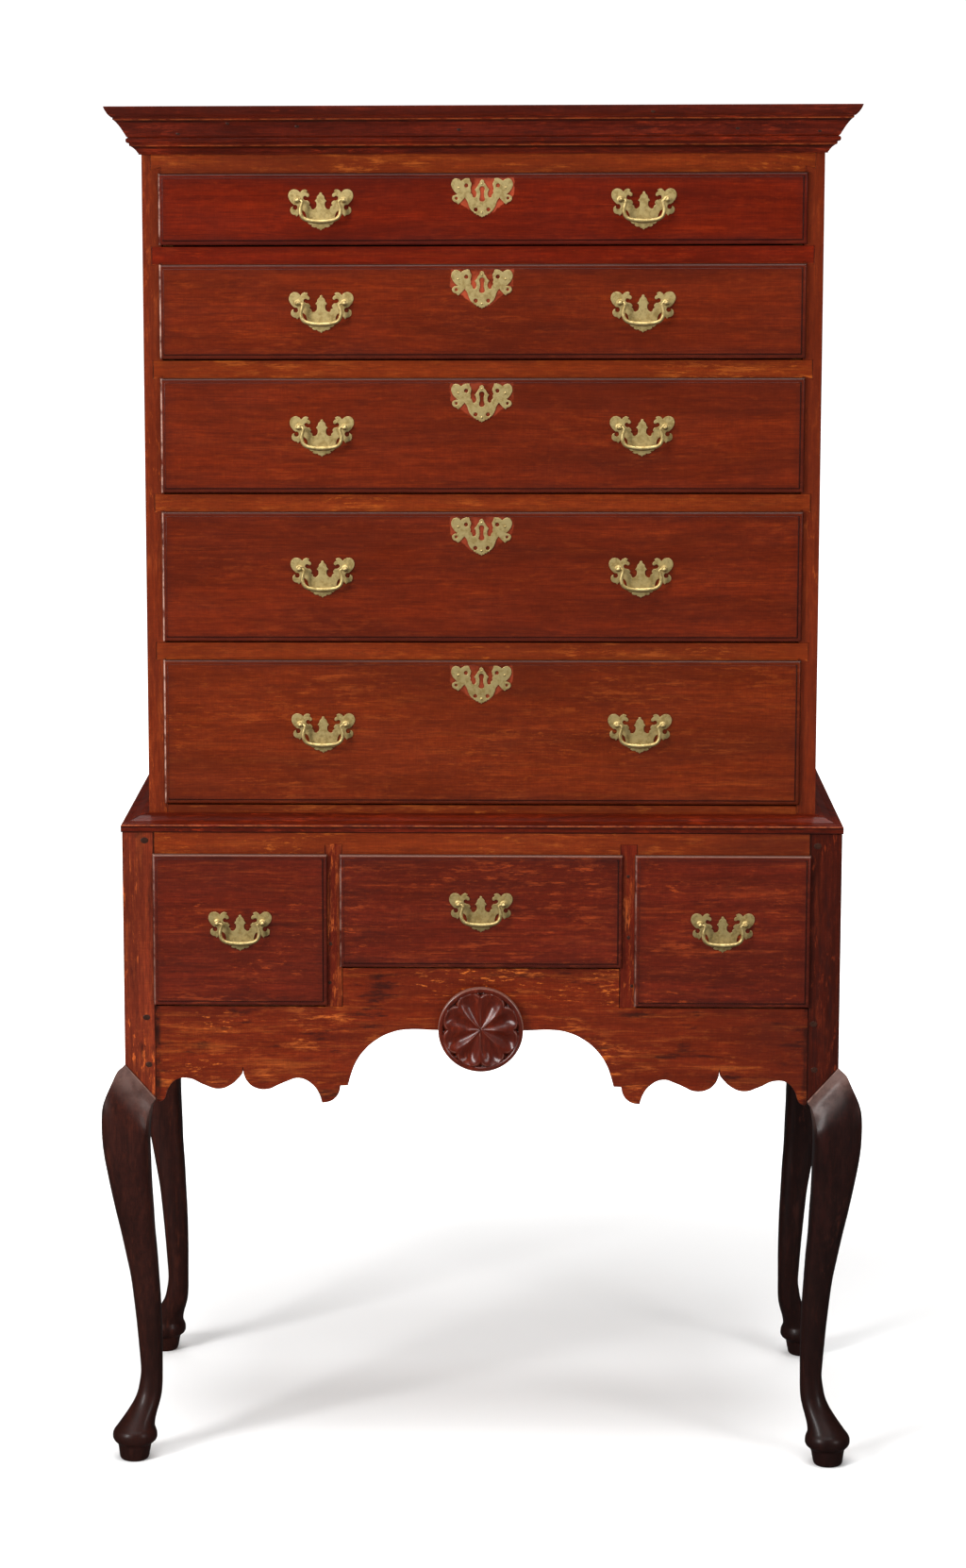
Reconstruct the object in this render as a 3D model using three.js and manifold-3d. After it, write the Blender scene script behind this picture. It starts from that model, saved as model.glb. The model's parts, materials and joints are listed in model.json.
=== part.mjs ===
// A cherry highboy in two parts: an upper case of five graduated drawers with a mitred cornice,
// standing inside the waist moulding of a lower case with three drawers, a scalloped skirt with a
// carved rosette, and four cabriole legs on pad feet. Every drawer has brass bail pulls.
//
// Units are millimetres. +Z is up and the front faces -Y. The origin is on the floor, under the
// middle of the piece. Each mesh is one closed piece, placed at rest with all drawers shut.

import * as THREE from "three";
import { mergeVertices } from "three/addons/utils/BufferGeometryUtils.js";
import Module from "manifold-3d";

const wasm = await Module();
wasm.setup();

// Clearances
const seat = 0.3; // between two pieces that rest on, or are glued or nailed to, each other
const overrun = 5; // how far a cutting shape reaches past the face it cuts

// The lower case as a whole, and how far the upper case stands in from it
const lowerWidth = 959;
const lowerDepth = 508;
const lowerHeight = 873;
const sideSetback = 34.5;
const frontSetback = 28;

// Legs, each cut from one blank with its corner post
const postSize = 42;
const kneeDrop = 80; // from the floor of the side drawers to the knee line
const kneeProjection = 32;
const kneeSlant = 48; // of the knee line, from the outer corner to the post's inner edge
const kneeShoulder = 3;
const padHeight = 50;

// Boards of the lower case
const lowerSideThickness = 20;
const lowerBackThickness = 16;
const skirtThickness = 22;
const topRailHeight = 30;
const topRailDepth = 60;
const dividerWidth = 23;
const dividerSpacing = 393.8;
const centreOpeningHeight = 154;
const sideOpeningHeight = 207;
const sideApronDrop = 99; // from the floor of the side drawers to the lower edge of the case sides
const lowerBackDrop = 76;
const skirtDrop = 133; // from the floor of the side drawers to the lowest point of the skirt
const archDrop = 84.2; // from the floor of the centre drawer to the top of the skirt's arch

// Boards of the upper case
const upperSideThickness = 25;
const upperBackThickness = 14;
const topBoardThickness = 19;
const bottomBoardThickness = 19;
const bottomRailHeight = 33;
const upperRailHeight = 88;
const bladeThickness = 24;
const bladeDepth = 60;
const dovetailLength = 13;
const dovetailFlare = 3;
const railDovetailRise = 6;
const upperOpeningHeights = [94, 124.5, 152, 173.5, 195];

// Drawer runners
const runnerWidth = 24;
const runnerHeight = 20;
const middleRunnerReach = 26;
const middleGuideRise = 14;

// Drawers
const frontThickness = 22;
const lipProud = 8;
const sideLip = 3.5;
const postLip = 1.4;
const topLip = 1.4;
const bottomReveal = 2;
const bodyClearance = 1.5;
const thumbWidth = 6;
const thumbDepth = 4.6;
const thumbFillet = 1;
const drawerSideThickness = 12;
const drawerBackThickness = 11;
const drawerBottomThickness = 8;
const drawerBottomRise = 5;
const drawerSideDrop = 6; // how far the drawer sides stop below the top of the opening
const drawerBackGap = 26; // behind a shut drawer

// Mouldings
const corniceHeight = 62.5;
const corniceProjection = 45;
const waistHeight = 22;
const waistOverhang = 1.6;

// Rosette
const rosetteRadius = 57;
const rosetteRise = 2.3; // of its middle above the top of the skirt's arch
const rosetteThickness = 13;
const rosetteRim = 5.5;
const petalCount = 8;
const petalDepth = 5;
const rimDepth = 1.2;

// Brasses
const plateThickness = 1.3;
const pullPlateWidth = 84.7;
const escutcheonWidth = 80.2;
const pullSpacing = 420.8;
const pullAxisRise = 11.8; // the pins sit this far above the middle of the drawer front
const escutcheonDrop = 19.5; // from the top of the drawer front to the escutcheon's nail line
const boring = 60.6;
const postNeckRadius = 2.1;
const postHeadRadius = 3.6;
const pinStandoff = 10;
const pinRadius = 1.3;
const pinClearance = 0.35;
const bailArmRadius = 2.1;
const bailGripRadius = 3.1;
const bailHalfWidth = 26.2;
const bailDrop = 27.6;
const plateHoleRadius = 2;
const keyholeHeadRadius = 2.9;
const keyholeWaist = 3.6;
const keyholeFoot = 5.8;
const keyholeLength = 17.5;
const keyholeRise = 2;

// Places worked out from the sizes
const lowerHalf = lowerWidth / 2;
const lowerFront = -lowerDepth / 2;
const lowerBack = lowerDepth / 2;
const upperHalf = lowerHalf - sideSetback;
const upperFront = lowerFront + frontSetback;
const upperBack = lowerBack;
const upperFloor = lowerHeight + seat;
const postInner = lowerHalf - postSize;
const openingTop = lowerHeight - topRailHeight;
const centreOpeningFloor = openingTop - centreOpeningHeight;
const sideOpeningFloor = openingTop - sideOpeningHeight;
const kneeHeight = sideOpeningFloor - kneeDrop;
const archTop = centreOpeningFloor - archDrop;
const skirtBottom = sideOpeningFloor - skirtDrop;
const dividerX = dividerSpacing / 2;
const dividerInner = dividerX - dividerWidth / 2;
const dividerOuter = dividerX + dividerWidth / 2;
const upperOpeningHalf = upperHalf - upperSideThickness;
const upperBackFace = upperBack - upperBackThickness;
const lowerBackFace = lowerBack - lowerBackThickness;

// Upper openings from the bottom rail up: floor, ceiling
const upperOpenings = [];
let level = lowerHeight + bottomRailHeight;
for (let n = upperOpeningHeights.length - 1; n >= 0; n--) {
  upperOpenings[n] = { floor: level, ceiling: level + upperOpeningHeights[n] };
  level += upperOpeningHeights[n] + bladeThickness;
}
const topRailFloor = upperOpenings[0].ceiling;
const overallHeight = topRailFloor + upperRailHeight;

// Geometry helpers

function solidOf(geometry) {
  const plain = geometry.clone();
  plain.deleteAttribute("normal");
  plain.deleteAttribute("uv");
  const merged = mergeVertices(plain, 1e-4);
  return new wasm.Manifold(
    new wasm.Mesh({
      numProp: 3,
      vertProperties: new Float32Array(merged.attributes.position.array),
      triVerts: new Uint32Array(merged.index.array),
    }),
  );
}

function geometryOf(solid) {
  const mesh = solid.getMesh();
  const positions = [];
  for (let i = 0; i < mesh.numVert; i++) {
    positions.push(...mesh.vertProperties.slice(i * mesh.numProp, i * mesh.numProp + 3));
  }
  const geometry = new THREE.BufferGeometry();
  geometry.setAttribute("position", new THREE.Float32BufferAttribute(positions, 3));
  geometry.setIndex(Array.from(mesh.triVerts));
  return geometry;
}

function join(...geometries) {
  return geometryOf(geometries.map(solidOf).reduce((a, b) => a.add(b)));
}

function cut(geometry, ...tools) {
  return geometryOf(tools.map(solidOf).reduce((a, b) => a.subtract(b), solidOf(geometry)));
}

function box(x0, x1, y0, y1, z0, z1) {
  const geometry = new THREE.BoxGeometry(Math.abs(x1 - x0), Math.abs(y1 - y0), Math.abs(z1 - z0));
  return geometry.translate((x0 + x1) / 2, (y0 + y1) / 2, (z0 + z1) / 2);
}

// A shape drawn as seen from the front, x across and y up, made thick from the plane y = back
// towards the front.
function frontBoard(shape, back, thickness, curveSegments) {
  const geometry = new THREE.ExtrudeGeometry(shape, {
    depth: thickness,
    bevelEnabled: false,
    curveSegments,
  });
  return geometry.rotateX(Math.PI / 2).translate(0, back, 0);
}

function signedArea(points) {
  return THREE.ShapeUtils.area(points);
}

// A closed skin through rings of equally many points, with the first and last ring capped.
// The flat function gives a ring's outline in two dimensions, for the caps.
function loft(rings, flat) {
  const count = rings[0].length;
  const positions = rings.flat().flatMap((p) => [p.x, p.y, p.z]);
  const index = [];
  for (let r = 0; r + 1 < rings.length; r++) {
    for (let k = 0; k < count; k++) {
      const a = r * count + k;
      const b = r * count + ((k + 1) % count);
      index.push(a, b, b + count, a, b + count, a + count);
    }
  }
  for (const [ring, first] of [[0, true], [rings.length - 1, false]]) {
    const outline = rings[ring].map(flat);
    for (const face of THREE.ShapeUtils.triangulateShape(outline, [])) {
      const along = signedArea(face.map((i) => outline[i])) * signedArea(outline) > 0;
      const ordered = along === first ? [face[0], face[2], face[1]] : face;
      index.push(...ordered.map((i) => ring * count + i));
    }
  }
  const geometry = new THREE.BufferGeometry();
  geometry.setAttribute("position", new THREE.Float32BufferAttribute(positions, 3));
  geometry.setIndex(index);
  return facingOut(geometry);
}

// Turns every face round if the skin encloses a negative volume.
function facingOut(geometry) {
  const p = geometry.attributes.position;
  const index = Array.from(geometry.index.array);
  const [a, b, c] = [new THREE.Vector3(), new THREE.Vector3(), new THREE.Vector3()];
  let volume = 0;
  for (let i = 0; i < index.length; i += 3) {
    a.fromBufferAttribute(p, index[i]);
    b.fromBufferAttribute(p, index[i + 1]);
    c.fromBufferAttribute(p, index[i + 2]);
    volume += a.dot(b.cross(c));
  }
  if (volume < 0) {
    for (let i = 0; i < index.length; i += 3) {
      [index[i + 1], index[i + 2]] = [index[i + 2], index[i + 1]];
    }
    geometry.setIndex(index);
  }
  return geometry;
}

// A moulding mitred round the front and both sides of a case. Each profile point gives how far it
// stands out at the sides and at the front, and its height.
function mitredMoulding(profile, half, front, back) {
  const stations = [
    [-1, false],
    [-1, true],
    [1, true],
    [1, false],
  ];
  const rings = stations.map(([side, atFront]) =>
    profile.map((p) => {
      const y = atFront ? front - p.front : back;
      return new THREE.Vector3(side * (half + p.side), y, p.z);
    }),
  );
  return loft(rings, (p) => new THREE.Vector2(Math.abs(p.x), p.z));
}

// Points of a quarter round or cove between two corners of a moulding's profile, in shares.
function quarter(from, to, hollow, steps) {
  const points = [];
  for (let i = 0; i <= steps; i++) {
    const turn = (Math.PI / 2) * (i / steps);
    const across = hollow ? 1 - Math.cos(turn) : Math.sin(turn);
    const up = hollow ? Math.sin(turn) : 1 - Math.cos(turn);
    points.push([from[0] + (to[0] - from[0]) * across, from[1] + (to[1] - from[1]) * up]);
  }
  return points;
}

// Legs

// Each row is one section of the leg from the knee down: its height as a share of the knee
// height, the outer face as a share of the knee projection, the inner face as a share of the
// post, the slant as a share of the knee slant, and the squareness of the section.
const legShares = [
  [0.966, 0.54, 0.83, 0.96, 8],
  [0.919, 0.895, 0.786, 0.81, 5.5],
  [0.852, 1, 0.772, 0.46, 4.4],
  [0.773, 0.913, 0.783, 0.1, 3.9],
  [0.689, 0.67, 0.812, 0, 3.5],
  [0.5935, 0.35, 0.87, 0, 3.1],
  [0.473, -0.03, 0.967, 0, 2.7],
  [0.342, -0.278, 1.036, 0, 2.4],
  [0.23, -0.415, 1.04, 0, 2.3],
  [0.1655, -0.294, 1.029, 0, 2.2],
  [0.1295, 0, 0.943, 0, 2.1],
];

// The turned pad foot: height as a share of the pad's top, then outer and inner as above.
const padShares = [
  [1.12, 0.39, 0.848],
  [0.86, 0.666, 0.81],
  [0.66, 0.719, 0.788],
  [0.44, 0.6, 0.719],
  [0.1, 0.444, 0.581],
  [0, 0.331, 0.495],
];

const legSides = 16;

function legRing(height, outer, inner, slant, squareness) {
  const middle = (inner - outer) / 2;
  const half = (inner + outer) / 2;
  const ring = [];
  for (let k = 0; k < legSides; k++) {
    const turn = (2 * Math.PI * k) / legSides;
    const [c, s] = [Math.cos(turn), Math.sin(turn)];
    const reach =
      squareness === Infinity
        ? 1 / Math.max(Math.abs(c), Math.abs(s))
        : (Math.abs(c) ** squareness + Math.abs(s) ** squareness) ** (-1 / squareness);
    const across = Math.max(reach * c, reach * s) / 2 + 1 / 2;
    ring.push(
      new THREE.Vector3(middle + half * reach * c, middle + half * reach * s, height - slant * across),
    );
  }
  return ring;
}

function leg(sideX, sideY) {
  const rings = [
    legRing(lowerHeight, 0, postSize, 0, Infinity),
    legRing(kneeHeight, 0, postSize, kneeSlant, Infinity),
    legRing(kneeHeight - kneeShoulder, kneeShoulder, postSize, kneeSlant, Infinity),
  ];
  for (const [height, outer, inner, slant, squareness] of legShares) {
    rings.push(
      legRing(
        height * kneeHeight,
        outer * kneeProjection,
        inner * postSize,
        slant * kneeSlant,
        squareness,
      ),
    );
  }
  for (const [height, outer, inner] of padShares) {
    rings.push(legRing(height * padHeight, outer * kneeProjection, inner * postSize, 0, 2));
  }
  const placed = rings.map((ring) =>
    ring.map(
      (p) =>
        new THREE.Vector3(sideX * (lowerHalf - p.x), sideY * (lowerDepth / 2 - p.y), p.z),
    ),
  );
  return loft(placed, (p) => new THREE.Vector2(p.x, p.y));
}

// Lower case

// Half the skirt's lower edge, from the rosette out to the post: across as a share of the way from
// the middle to the post, and down as a share of the way from the arch to the lowest point. Each
// row after the first is a curve that bends towards its first point and ends at its second.
const skirtShares = [
  [0.231, 0],
  [0.33, 0.01, 0.37, 0.347],
  [0.41, 0.58, 0.414, 0.76],
  [0.424, 0.775, 0.432, 0.765],
  [0.434, 0.98, 0.488, 1],
  [0.502, 0.68, 0.565, 0.664],
  [0.6, 0.664, 0.625, 0.76],
  [0.672, 0.91, 0.71, 0.76],
  [0.722, 0.66, 0.733, 0.558],
  [0.744, 0.66, 0.757, 0.725],
  [0.8, 0.875, 0.855, 0.737],
  [0.895, 0.641, 0.935, 0.686],
  [0.968, 0.742, 0.972, 0.876],
  [0.98, 1, 1, 0.985],
];
const skirtSegments = 3;

function halfSkirtEdge(side) {
  const place = (across, down) => [
    side * across * (postInner - seat),
    archTop + down * (skirtBottom - archTop),
  ];
  const edge = new THREE.Path();
  const [first, ...curves] = skirtShares;
  edge.moveTo(...place(...first));
  for (const [bendAcross, bendDown, across, down] of curves) {
    edge.quadraticCurveTo(...place(bendAcross, bendDown), ...place(across, down));
  }
  return edge.getPoints(skirtSegments);
}

function skirtOutline() {
  const end = postInner - seat;
  const shoulder = dividerInner - seat;
  const top = sideOpeningFloor - seat;
  const upperEdge = [
    [-end, top],
    [-shoulder, top],
    [-shoulder, centreOpeningFloor],
    [shoulder, centreOpeningFloor],
    [shoulder, top],
    [end, top],
  ].map(([x, z]) => new THREE.Vector2(x, z));
  return new THREE.Shape([...halfSkirtEdge(-1), ...upperEdge, ...halfSkirtEdge(1).toReversed()]);
}

function skirt() {
  return frontBoard(skirtOutline(), lowerFront + skirtThickness, skirtThickness, 1);
}

function lowerTopRail() {
  const back = lowerFront + topRailDepth;
  const rail = box(-postInner + seat, postInner - seat, lowerFront, back, openingTop, lowerHeight);
  const dividers = [-1, 1].map((side) =>
    box(
      side * dividerInner,
      side * dividerOuter,
      lowerFront,
      back,
      sideOpeningFloor,
      openingTop + topRailHeight / 2,
    ),
  );
  return join(rail, ...dividers);
}

function lowerSide(side) {
  const end = lowerDepth / 2 - postSize - seat;
  const inner = lowerHalf - lowerSideThickness;
  const bottom = sideOpeningFloor - sideApronDrop;
  const board = box(side * inner, side * lowerHalf, -end, end, bottom, lowerHeight);
  const runner = box(
    side * (postInner - runnerWidth),
    side * (inner + lowerSideThickness / 2),
    -end,
    end,
    sideOpeningFloor - runnerHeight,
    sideOpeningFloor,
  );
  return join(board, runner);
}

function lowerBackBoard() {
  const half = postInner - seat;
  const bottom = sideOpeningFloor - lowerBackDrop;
  const board = box(-half, half, lowerBackFace, lowerBack, bottom, lowerHeight);
  const front = lowerFront + topRailDepth + seat;
  const pieces = [board];
  for (const side of [-1, 1]) {
    pieces.push(
      box(
        side * (dividerInner - middleRunnerReach),
        side * dividerOuter,
        front,
        lowerBackFace + lowerBackThickness / 2,
        centreOpeningFloor - runnerHeight,
        centreOpeningFloor,
      ),
      box(
        side * dividerInner,
        side * dividerOuter,
        front,
        lowerBackFace + lowerBackThickness / 2,
        sideOpeningFloor - runnerHeight,
        centreOpeningFloor + middleGuideRise,
      ),
      box(
        side * dividerInner,
        side * (dividerOuter + middleRunnerReach),
        front,
        lowerBackFace + lowerBackThickness / 2,
        sideOpeningFloor - runnerHeight,
        sideOpeningFloor,
      ),
    );
  }
  return join(...pieces);
}

function waistMoulding() {
  const sideRun = lowerHalf + waistOverhang - upperHalf - seat;
  const frontRun = frontSetback + waistOverhang - seat;
  const shares = [
    [0, 0],
    [1, 0],
    [1, 0.4],
    ...quarter([0.98, 0.48], [0.9, 0.54], false, 1),
    [0.78, 0.54],
    ...quarter([0.74, 0.58], [0.12, 0.9], true, 3),
    [0.1, 1],
    [0, 1],
  ];
  const profile = shares.map(([out, up]) => ({
    side: seat + out * sideRun,
    front: seat + out * frontRun,
    z: upperFloor + up * waistHeight,
  }));
  return mitredMoulding(profile, upperHalf, upperFront, upperBack);
}

// A dished disc of scooped petals inside a raised rim. Rows run from the centre to the back edge.
function rosette() {
  const perPetal = 4;
  const spokes = petalCount * perPetal;
  const floor = rosetteRadius - rosetteRim;
  const rows = [
    { radius: floor * 0.25, scoop: 0.3 },
    { radius: floor * 0.75, scoop: 1 },
    { radius: floor, scoop: 0.25 },
  ];
  const rings = rows.map(({ radius, scoop }, row) =>
    spokePoints(spokes, (k) => {
      const across = Math.abs((k % perPetal) / perPetal - 1 / 2) * 2;
      const notch = row === rows.length - 1 && across === 1 ? petalDepth / 2 : 0;
      const hollow = petalDepth * scoop * (1 - across ** 2);
      return [radius, rosetteThickness - rimDepth - hollow - notch];
    }),
  );
  rings.push(
    spokePoints(spokes, () => [floor + rosetteRim * 0.3, rosetteThickness]),
    spokePoints(spokes, () => [rosetteRadius, rosetteThickness - rosetteRim * 0.3]),
    spokePoints(spokes, () => [rosetteRadius, 0]),
  );
  const disc = loft(rings, (p) => new THREE.Vector2(p.x, p.z));
  return disc.translate(0, lowerFront - seat, archTop + rosetteRise);
}

// One ring of a disc that faces the front, from each spoke's radius and height above the back.
function spokePoints(spokes, radiusAndHeight) {
  return Array.from({ length: spokes }, (_, k) => {
    const turn = (2 * Math.PI * k) / spokes;
    const [radius, height] = radiusAndHeight(k);
    return new THREE.Vector3(radius * Math.cos(turn), -height, radius * Math.sin(turn));
  });
}

// Upper case

// The end of a blade or rail that shows as a half dovetail in the front edge of a side board.
function dovetailEnd(side, floor, ceiling, gap) {
  const shape = new THREE.Shape();
  const root = upperOpeningHalf - overrun;
  const tip = upperOpeningHalf + dovetailLength + gap;
  shape.moveTo(side * root, floor + dovetailFlare - gap);
  shape.lineTo(side * upperOpeningHalf, floor + dovetailFlare - gap);
  shape.lineTo(side * tip, floor - gap);
  shape.lineTo(side * tip, ceiling + gap);
  shape.lineTo(side * root, ceiling + gap);
  return frontBoard(shape, upperFront + bladeDepth + gap, bladeDepth + gap * 2, 1);
}

function blade(floor) {
  const half = upperOpeningHalf - seat;
  const ceiling = floor + bladeThickness;
  const board = box(-half, half, upperFront, upperFront + bladeDepth, floor, ceiling);
  const ends = [-1, 1].map((side) => trimmedToFront(dovetailEnd(side, floor, ceiling, 0)));
  return join(board, ...ends);
}

// Keeps a shape flush with the upper front.
function trimmedToFront(geometry) {
  const reach = overallHeight;
  return cut(geometry, box(-reach, reach, upperFront - reach, upperFront, 0, reach * 2));
}

const bladeFloors = upperOpenings.slice(1).map((opening) => opening.ceiling);

function upperSide(side) {
  const inner = side * upperOpeningHalf;
  const board = box(inner, side * upperHalf, upperFront, upperBack, upperFloor, overallHeight);
  const sockets = bladeFloors.map((floor) =>
    dovetailEnd(side, floor, floor + bladeThickness, seat),
  );
  sockets.push(
    dovetailEnd(side, topRailFloor + railDovetailRise, overallHeight + overrun, seat),
  );
  const runnerFront = upperFront + bladeDepth + seat * 2;
  const runners = upperOpenings.map(({ floor }, n) =>
    box(
      side * (upperOpeningHalf - runnerWidth),
      side * (upperOpeningHalf + upperSideThickness / 2),
      runnerFront,
      upperBackFace - seat,
      n + 1 < upperOpenings.length ? floor - runnerHeight : upperFloor + bottomBoardThickness + seat,
      floor,
    ),
  );
  return join(cut(board, ...sockets), ...runners);
}

function upperTop() {
  const half = upperOpeningHalf - seat;
  const back = upperBackFace - seat;
  const board = box(-half, half, upperFront, back, overallHeight - topBoardThickness, overallHeight);
  const railBack = upperFront + bladeDepth;
  const rail = box(-half, half, upperFront, railBack, topRailFloor, overallHeight);
  const ends = [-1, 1].map((side) =>
    trimmedToFront(dovetailEnd(side, topRailFloor + railDovetailRise, overallHeight, 0)),
  );
  return join(board, rail, ...ends);
}

function upperBottom() {
  const half = upperOpeningHalf - seat;
  const back = upperBackFace - seat;
  const ceiling = upperFloor + bottomBoardThickness;
  const board = box(-half, half, upperFront, back, upperFloor, ceiling);
  const railTop = lowerHeight + bottomRailHeight;
  const rail = box(-half, half, upperFront, upperFront + bladeDepth, upperFloor, railTop);
  return join(board, rail);
}

function upperBackBoard() {
  const half = upperOpeningHalf - seat;
  return box(-half, half, upperBackFace, upperBack, upperFloor, overallHeight);
}

function cornice() {
  const shares = [
    [0, 0],
    [1, 0],
    [1, 0.03],
    ...quarter([1, 0.03], [0.79, 0.27], true, 3).slice(1),
    [0.76, 0.27],
    [0.76, 0.31],
    ...quarter([0.75, 0.31], [0.39, 0.67], false, 4),
    [0.39, 0.68],
    [0.42, 0.73],
    [0.37, 0.79],
    [0.29, 0.79],
    [0.29, 0.82],
    ...quarter([0.27, 0.82], [0.07, 0.98], false, 2),
    [0.06, 1],
    [0, 1],
  ];
  const profile = shares.map(([out, down]) => ({
    side: seat + out * (corniceProjection - seat),
    front: seat + out * (corniceProjection - seat),
    z: overallHeight - down * corniceHeight,
  }));
  return mitredMoulding(profile, upperHalf, upperFront, upperBack);
}

// Drawers

// One rectangular ring of a drawer front, set in from the front's outline.
function frontRing(outline, inset, y) {
  const { left, right, floor, ceiling } = outline;
  return [
    new THREE.Vector3(left + inset, y, floor + inset),
    new THREE.Vector3(right - inset, y, floor + inset),
    new THREE.Vector3(right - inset, y, ceiling - inset),
    new THREE.Vector3(left + inset, y, ceiling - inset),
  ];
}

// A lipped, thumbnail-moulded front on an open box. The opening gives the space in the case.
function drawer(opening, caseFront, backFace) {
  const { left, right, floor, ceiling, leftLip, rightLip } = opening;
  const outline = {
    left: left - leftLip,
    right: right + rightLip,
    floor: floor + bottomReveal,
    ceiling: ceiling + topLip,
  };
  const body = {
    left: left + bodyClearance,
    right: right - bodyClearance,
    floor: floor + bottomReveal + thumbFillet,
    ceiling: ceiling - bodyClearance,
  };
  const face = caseFront - lipProud;
  const roundStart = face + thumbFillet;
  const roundSteps = 2;
  const rings = [frontRing(outline, thumbWidth, face), frontRing(outline, thumbWidth, roundStart)];
  for (let i = 0; i <= roundSteps; i++) {
    const turn = (Math.PI / 2) * (i / roundSteps);
    const inset = (thumbWidth - thumbFillet) * (1 - Math.sin(turn));
    rings.push(frontRing(outline, inset, roundStart + thumbDepth * (1 - Math.cos(turn))));
  }
  rings.push(frontRing(outline, 0, caseFront - seat));
  const frontBack = face + frontThickness;
  const front = join(
    loft(rings, (p) => new THREE.Vector2(p.x, p.z)),
    box(body.left, body.right, roundStart, frontBack, body.floor, body.ceiling),
  );
  const back = backFace - drawerBackGap;
  const sideFloor = floor + seat;
  const sideCeiling = ceiling - drawerSideDrop;
  const bottomUnder = sideFloor + drawerBottomRise;
  const bottomTop = bottomUnder + drawerBottomThickness;
  const innerLeft = body.left + drawerSideThickness;
  const innerRight = body.right - drawerSideThickness;
  const carcass = cut(
    box(body.left, body.right, frontBack - thumbFillet, back, sideFloor, sideCeiling),
    box(innerLeft, innerRight, frontBack, back - drawerBackThickness, bottomTop, ceiling + overrun),
    box(innerLeft, innerRight, frontBack, back + overrun, floor - overrun, bottomUnder),
  );
  return join(front, carcass);
}

// Brasses

// Half the outline of a batwing plate, in shares of half its width, from the top of the middle
// finial out along the upper edge and back along the lower edge to the bottom tip. The post or
// nail line is at height zero.
const plateTopShare = 0.241;
const plateBottomShare = -0.92;
const plateHalfShares = [
  [0.26, -0.047],
  [0.185, -0.12],
  [0.215, -0.245],
  [0.305, -0.24],
  [0.4, -0.02],
  [0.345, 0.12],
  [0.405, 0.205],
  [0.385, 0.3],
  [0.48, 0.331],
  [0.58, 0.3],
  [0.637, 0.228],
  [0.72, 0.305],
  [0.83, 0.336],
  [0.95, 0.27],
  [1, 0.15],
  [0.95, 0.03],
  [0.8, -0.13],
  [0.93, -0.24],
  [0.91, -0.36],
  [0.775, -0.487],
  [0.66, -0.42],
  [0.54, -0.312],
  [0.42, -0.57],
  [0.22, -0.84],
  [0.09, -0.845],
];
const scrollHoleShares = [
  [0.467, 0.065],
  [0.79, -0.24],
];
const footHoleShares = [[0.215, -0.68]];
const holeSides = 5;

// A plate whose back lies on y = 0 and which stands out towards the front.
function piercedPlate(width, holeShares, ...openings) {
  const half = width / 2;
  const points = [new THREE.Vector2(0, plateTopShare * half)];
  for (const [x, z] of plateHalfShares) {
    points.push(new THREE.Vector2(x * half, z * half));
  }
  points.push(new THREE.Vector2(0, plateBottomShare * half));
  for (const [x, z] of plateHalfShares.toReversed()) {
    points.push(new THREE.Vector2(-x * half, z * half));
  }
  const plate = frontBoard(new THREE.Shape(points), 0, plateThickness, 1);
  const reach = plateThickness * 3;
  const holes = holeShares.flatMap(([x, z]) =>
    [-1, 1].map((side) =>
      new THREE.CylinderGeometry(plateHoleRadius, plateHoleRadius, reach, holeSides).translate(
        side * x * half,
        0,
        z * half,
      ),
    ),
  );
  const punches = openings.map((shape) => frontBoard(shape, plateThickness, reach, 3));
  return cut(plate, ...holes, ...punches);
}

function keyhole() {
  const path = new THREE.Shape();
  const top = keyholeRise - keyholeHeadRadius;
  const foot = top - keyholeLength + keyholeHeadRadius * 2;
  path.moveTo(-keyholeWaist / 2, top - keyholeHeadRadius);
  path.quadraticCurveTo(-keyholeHeadRadius * 1.4, top, 0, top + keyholeHeadRadius);
  path.quadraticCurveTo(keyholeHeadRadius * 1.4, top, keyholeWaist / 2, top - keyholeHeadRadius);
  path.lineTo(keyholeFoot / 2, foot);
  path.lineTo(-keyholeFoot / 2, foot);
  return path;
}

function pullPlate() {
  const plate = piercedPlate(pullPlateWidth, scrollHoleShares);
  const head = postHeadRadius;
  const standoff = plateThickness + pinStandoff;
  const profile = [
    [0, plateThickness / 2],
    [postNeckRadius, plateThickness / 2],
    [postNeckRadius, standoff - head],
    [head, standoff],
    [0, standoff + head],
  ].map(([radius, height]) => new THREE.Vector2(radius, height));
  const sides = 6;
  const post = new THREE.LatheGeometry(profile, sides).rotateX(Math.PI);
  const bore = pinRadius + pinClearance;
  const drill = new THREE.CylinderGeometry(bore, bore, head * 4, sides);
  const bored = cut(post, drill.rotateZ(Math.PI / 2).translate(0, -standoff, 0));
  const posts = [-1, 1].map((side) => bored.clone().translate((side * boring) / 2, 0, 0));
  return join(plate, ...posts);
}

function escutcheon() {
  return piercedPlate(escutcheonWidth, [...scrollHoleShares, ...footHoleShares], keyhole());
}

// Half the bail from the pin in the post to the middle of the grip: across as a share of the
// half width, down as a share of the drop, and the radius.
const bailHalf = [
  [(boring / 2 + postHeadRadius / 2) / bailHalfWidth, 0, pinRadius],
  [0.97, 0, pinRadius],
  [0.94, 0.09, bailArmRadius],
  [1, 0.42, bailArmRadius],
  [0.96, 0.68, bailArmRadius],
  [0.76, 0.88, bailArmRadius],
  [0.45, 0.97, (bailArmRadius + bailGripRadius) / 2],
  [0, 1, bailGripRadius],
];

const bailSides = 5;

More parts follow.
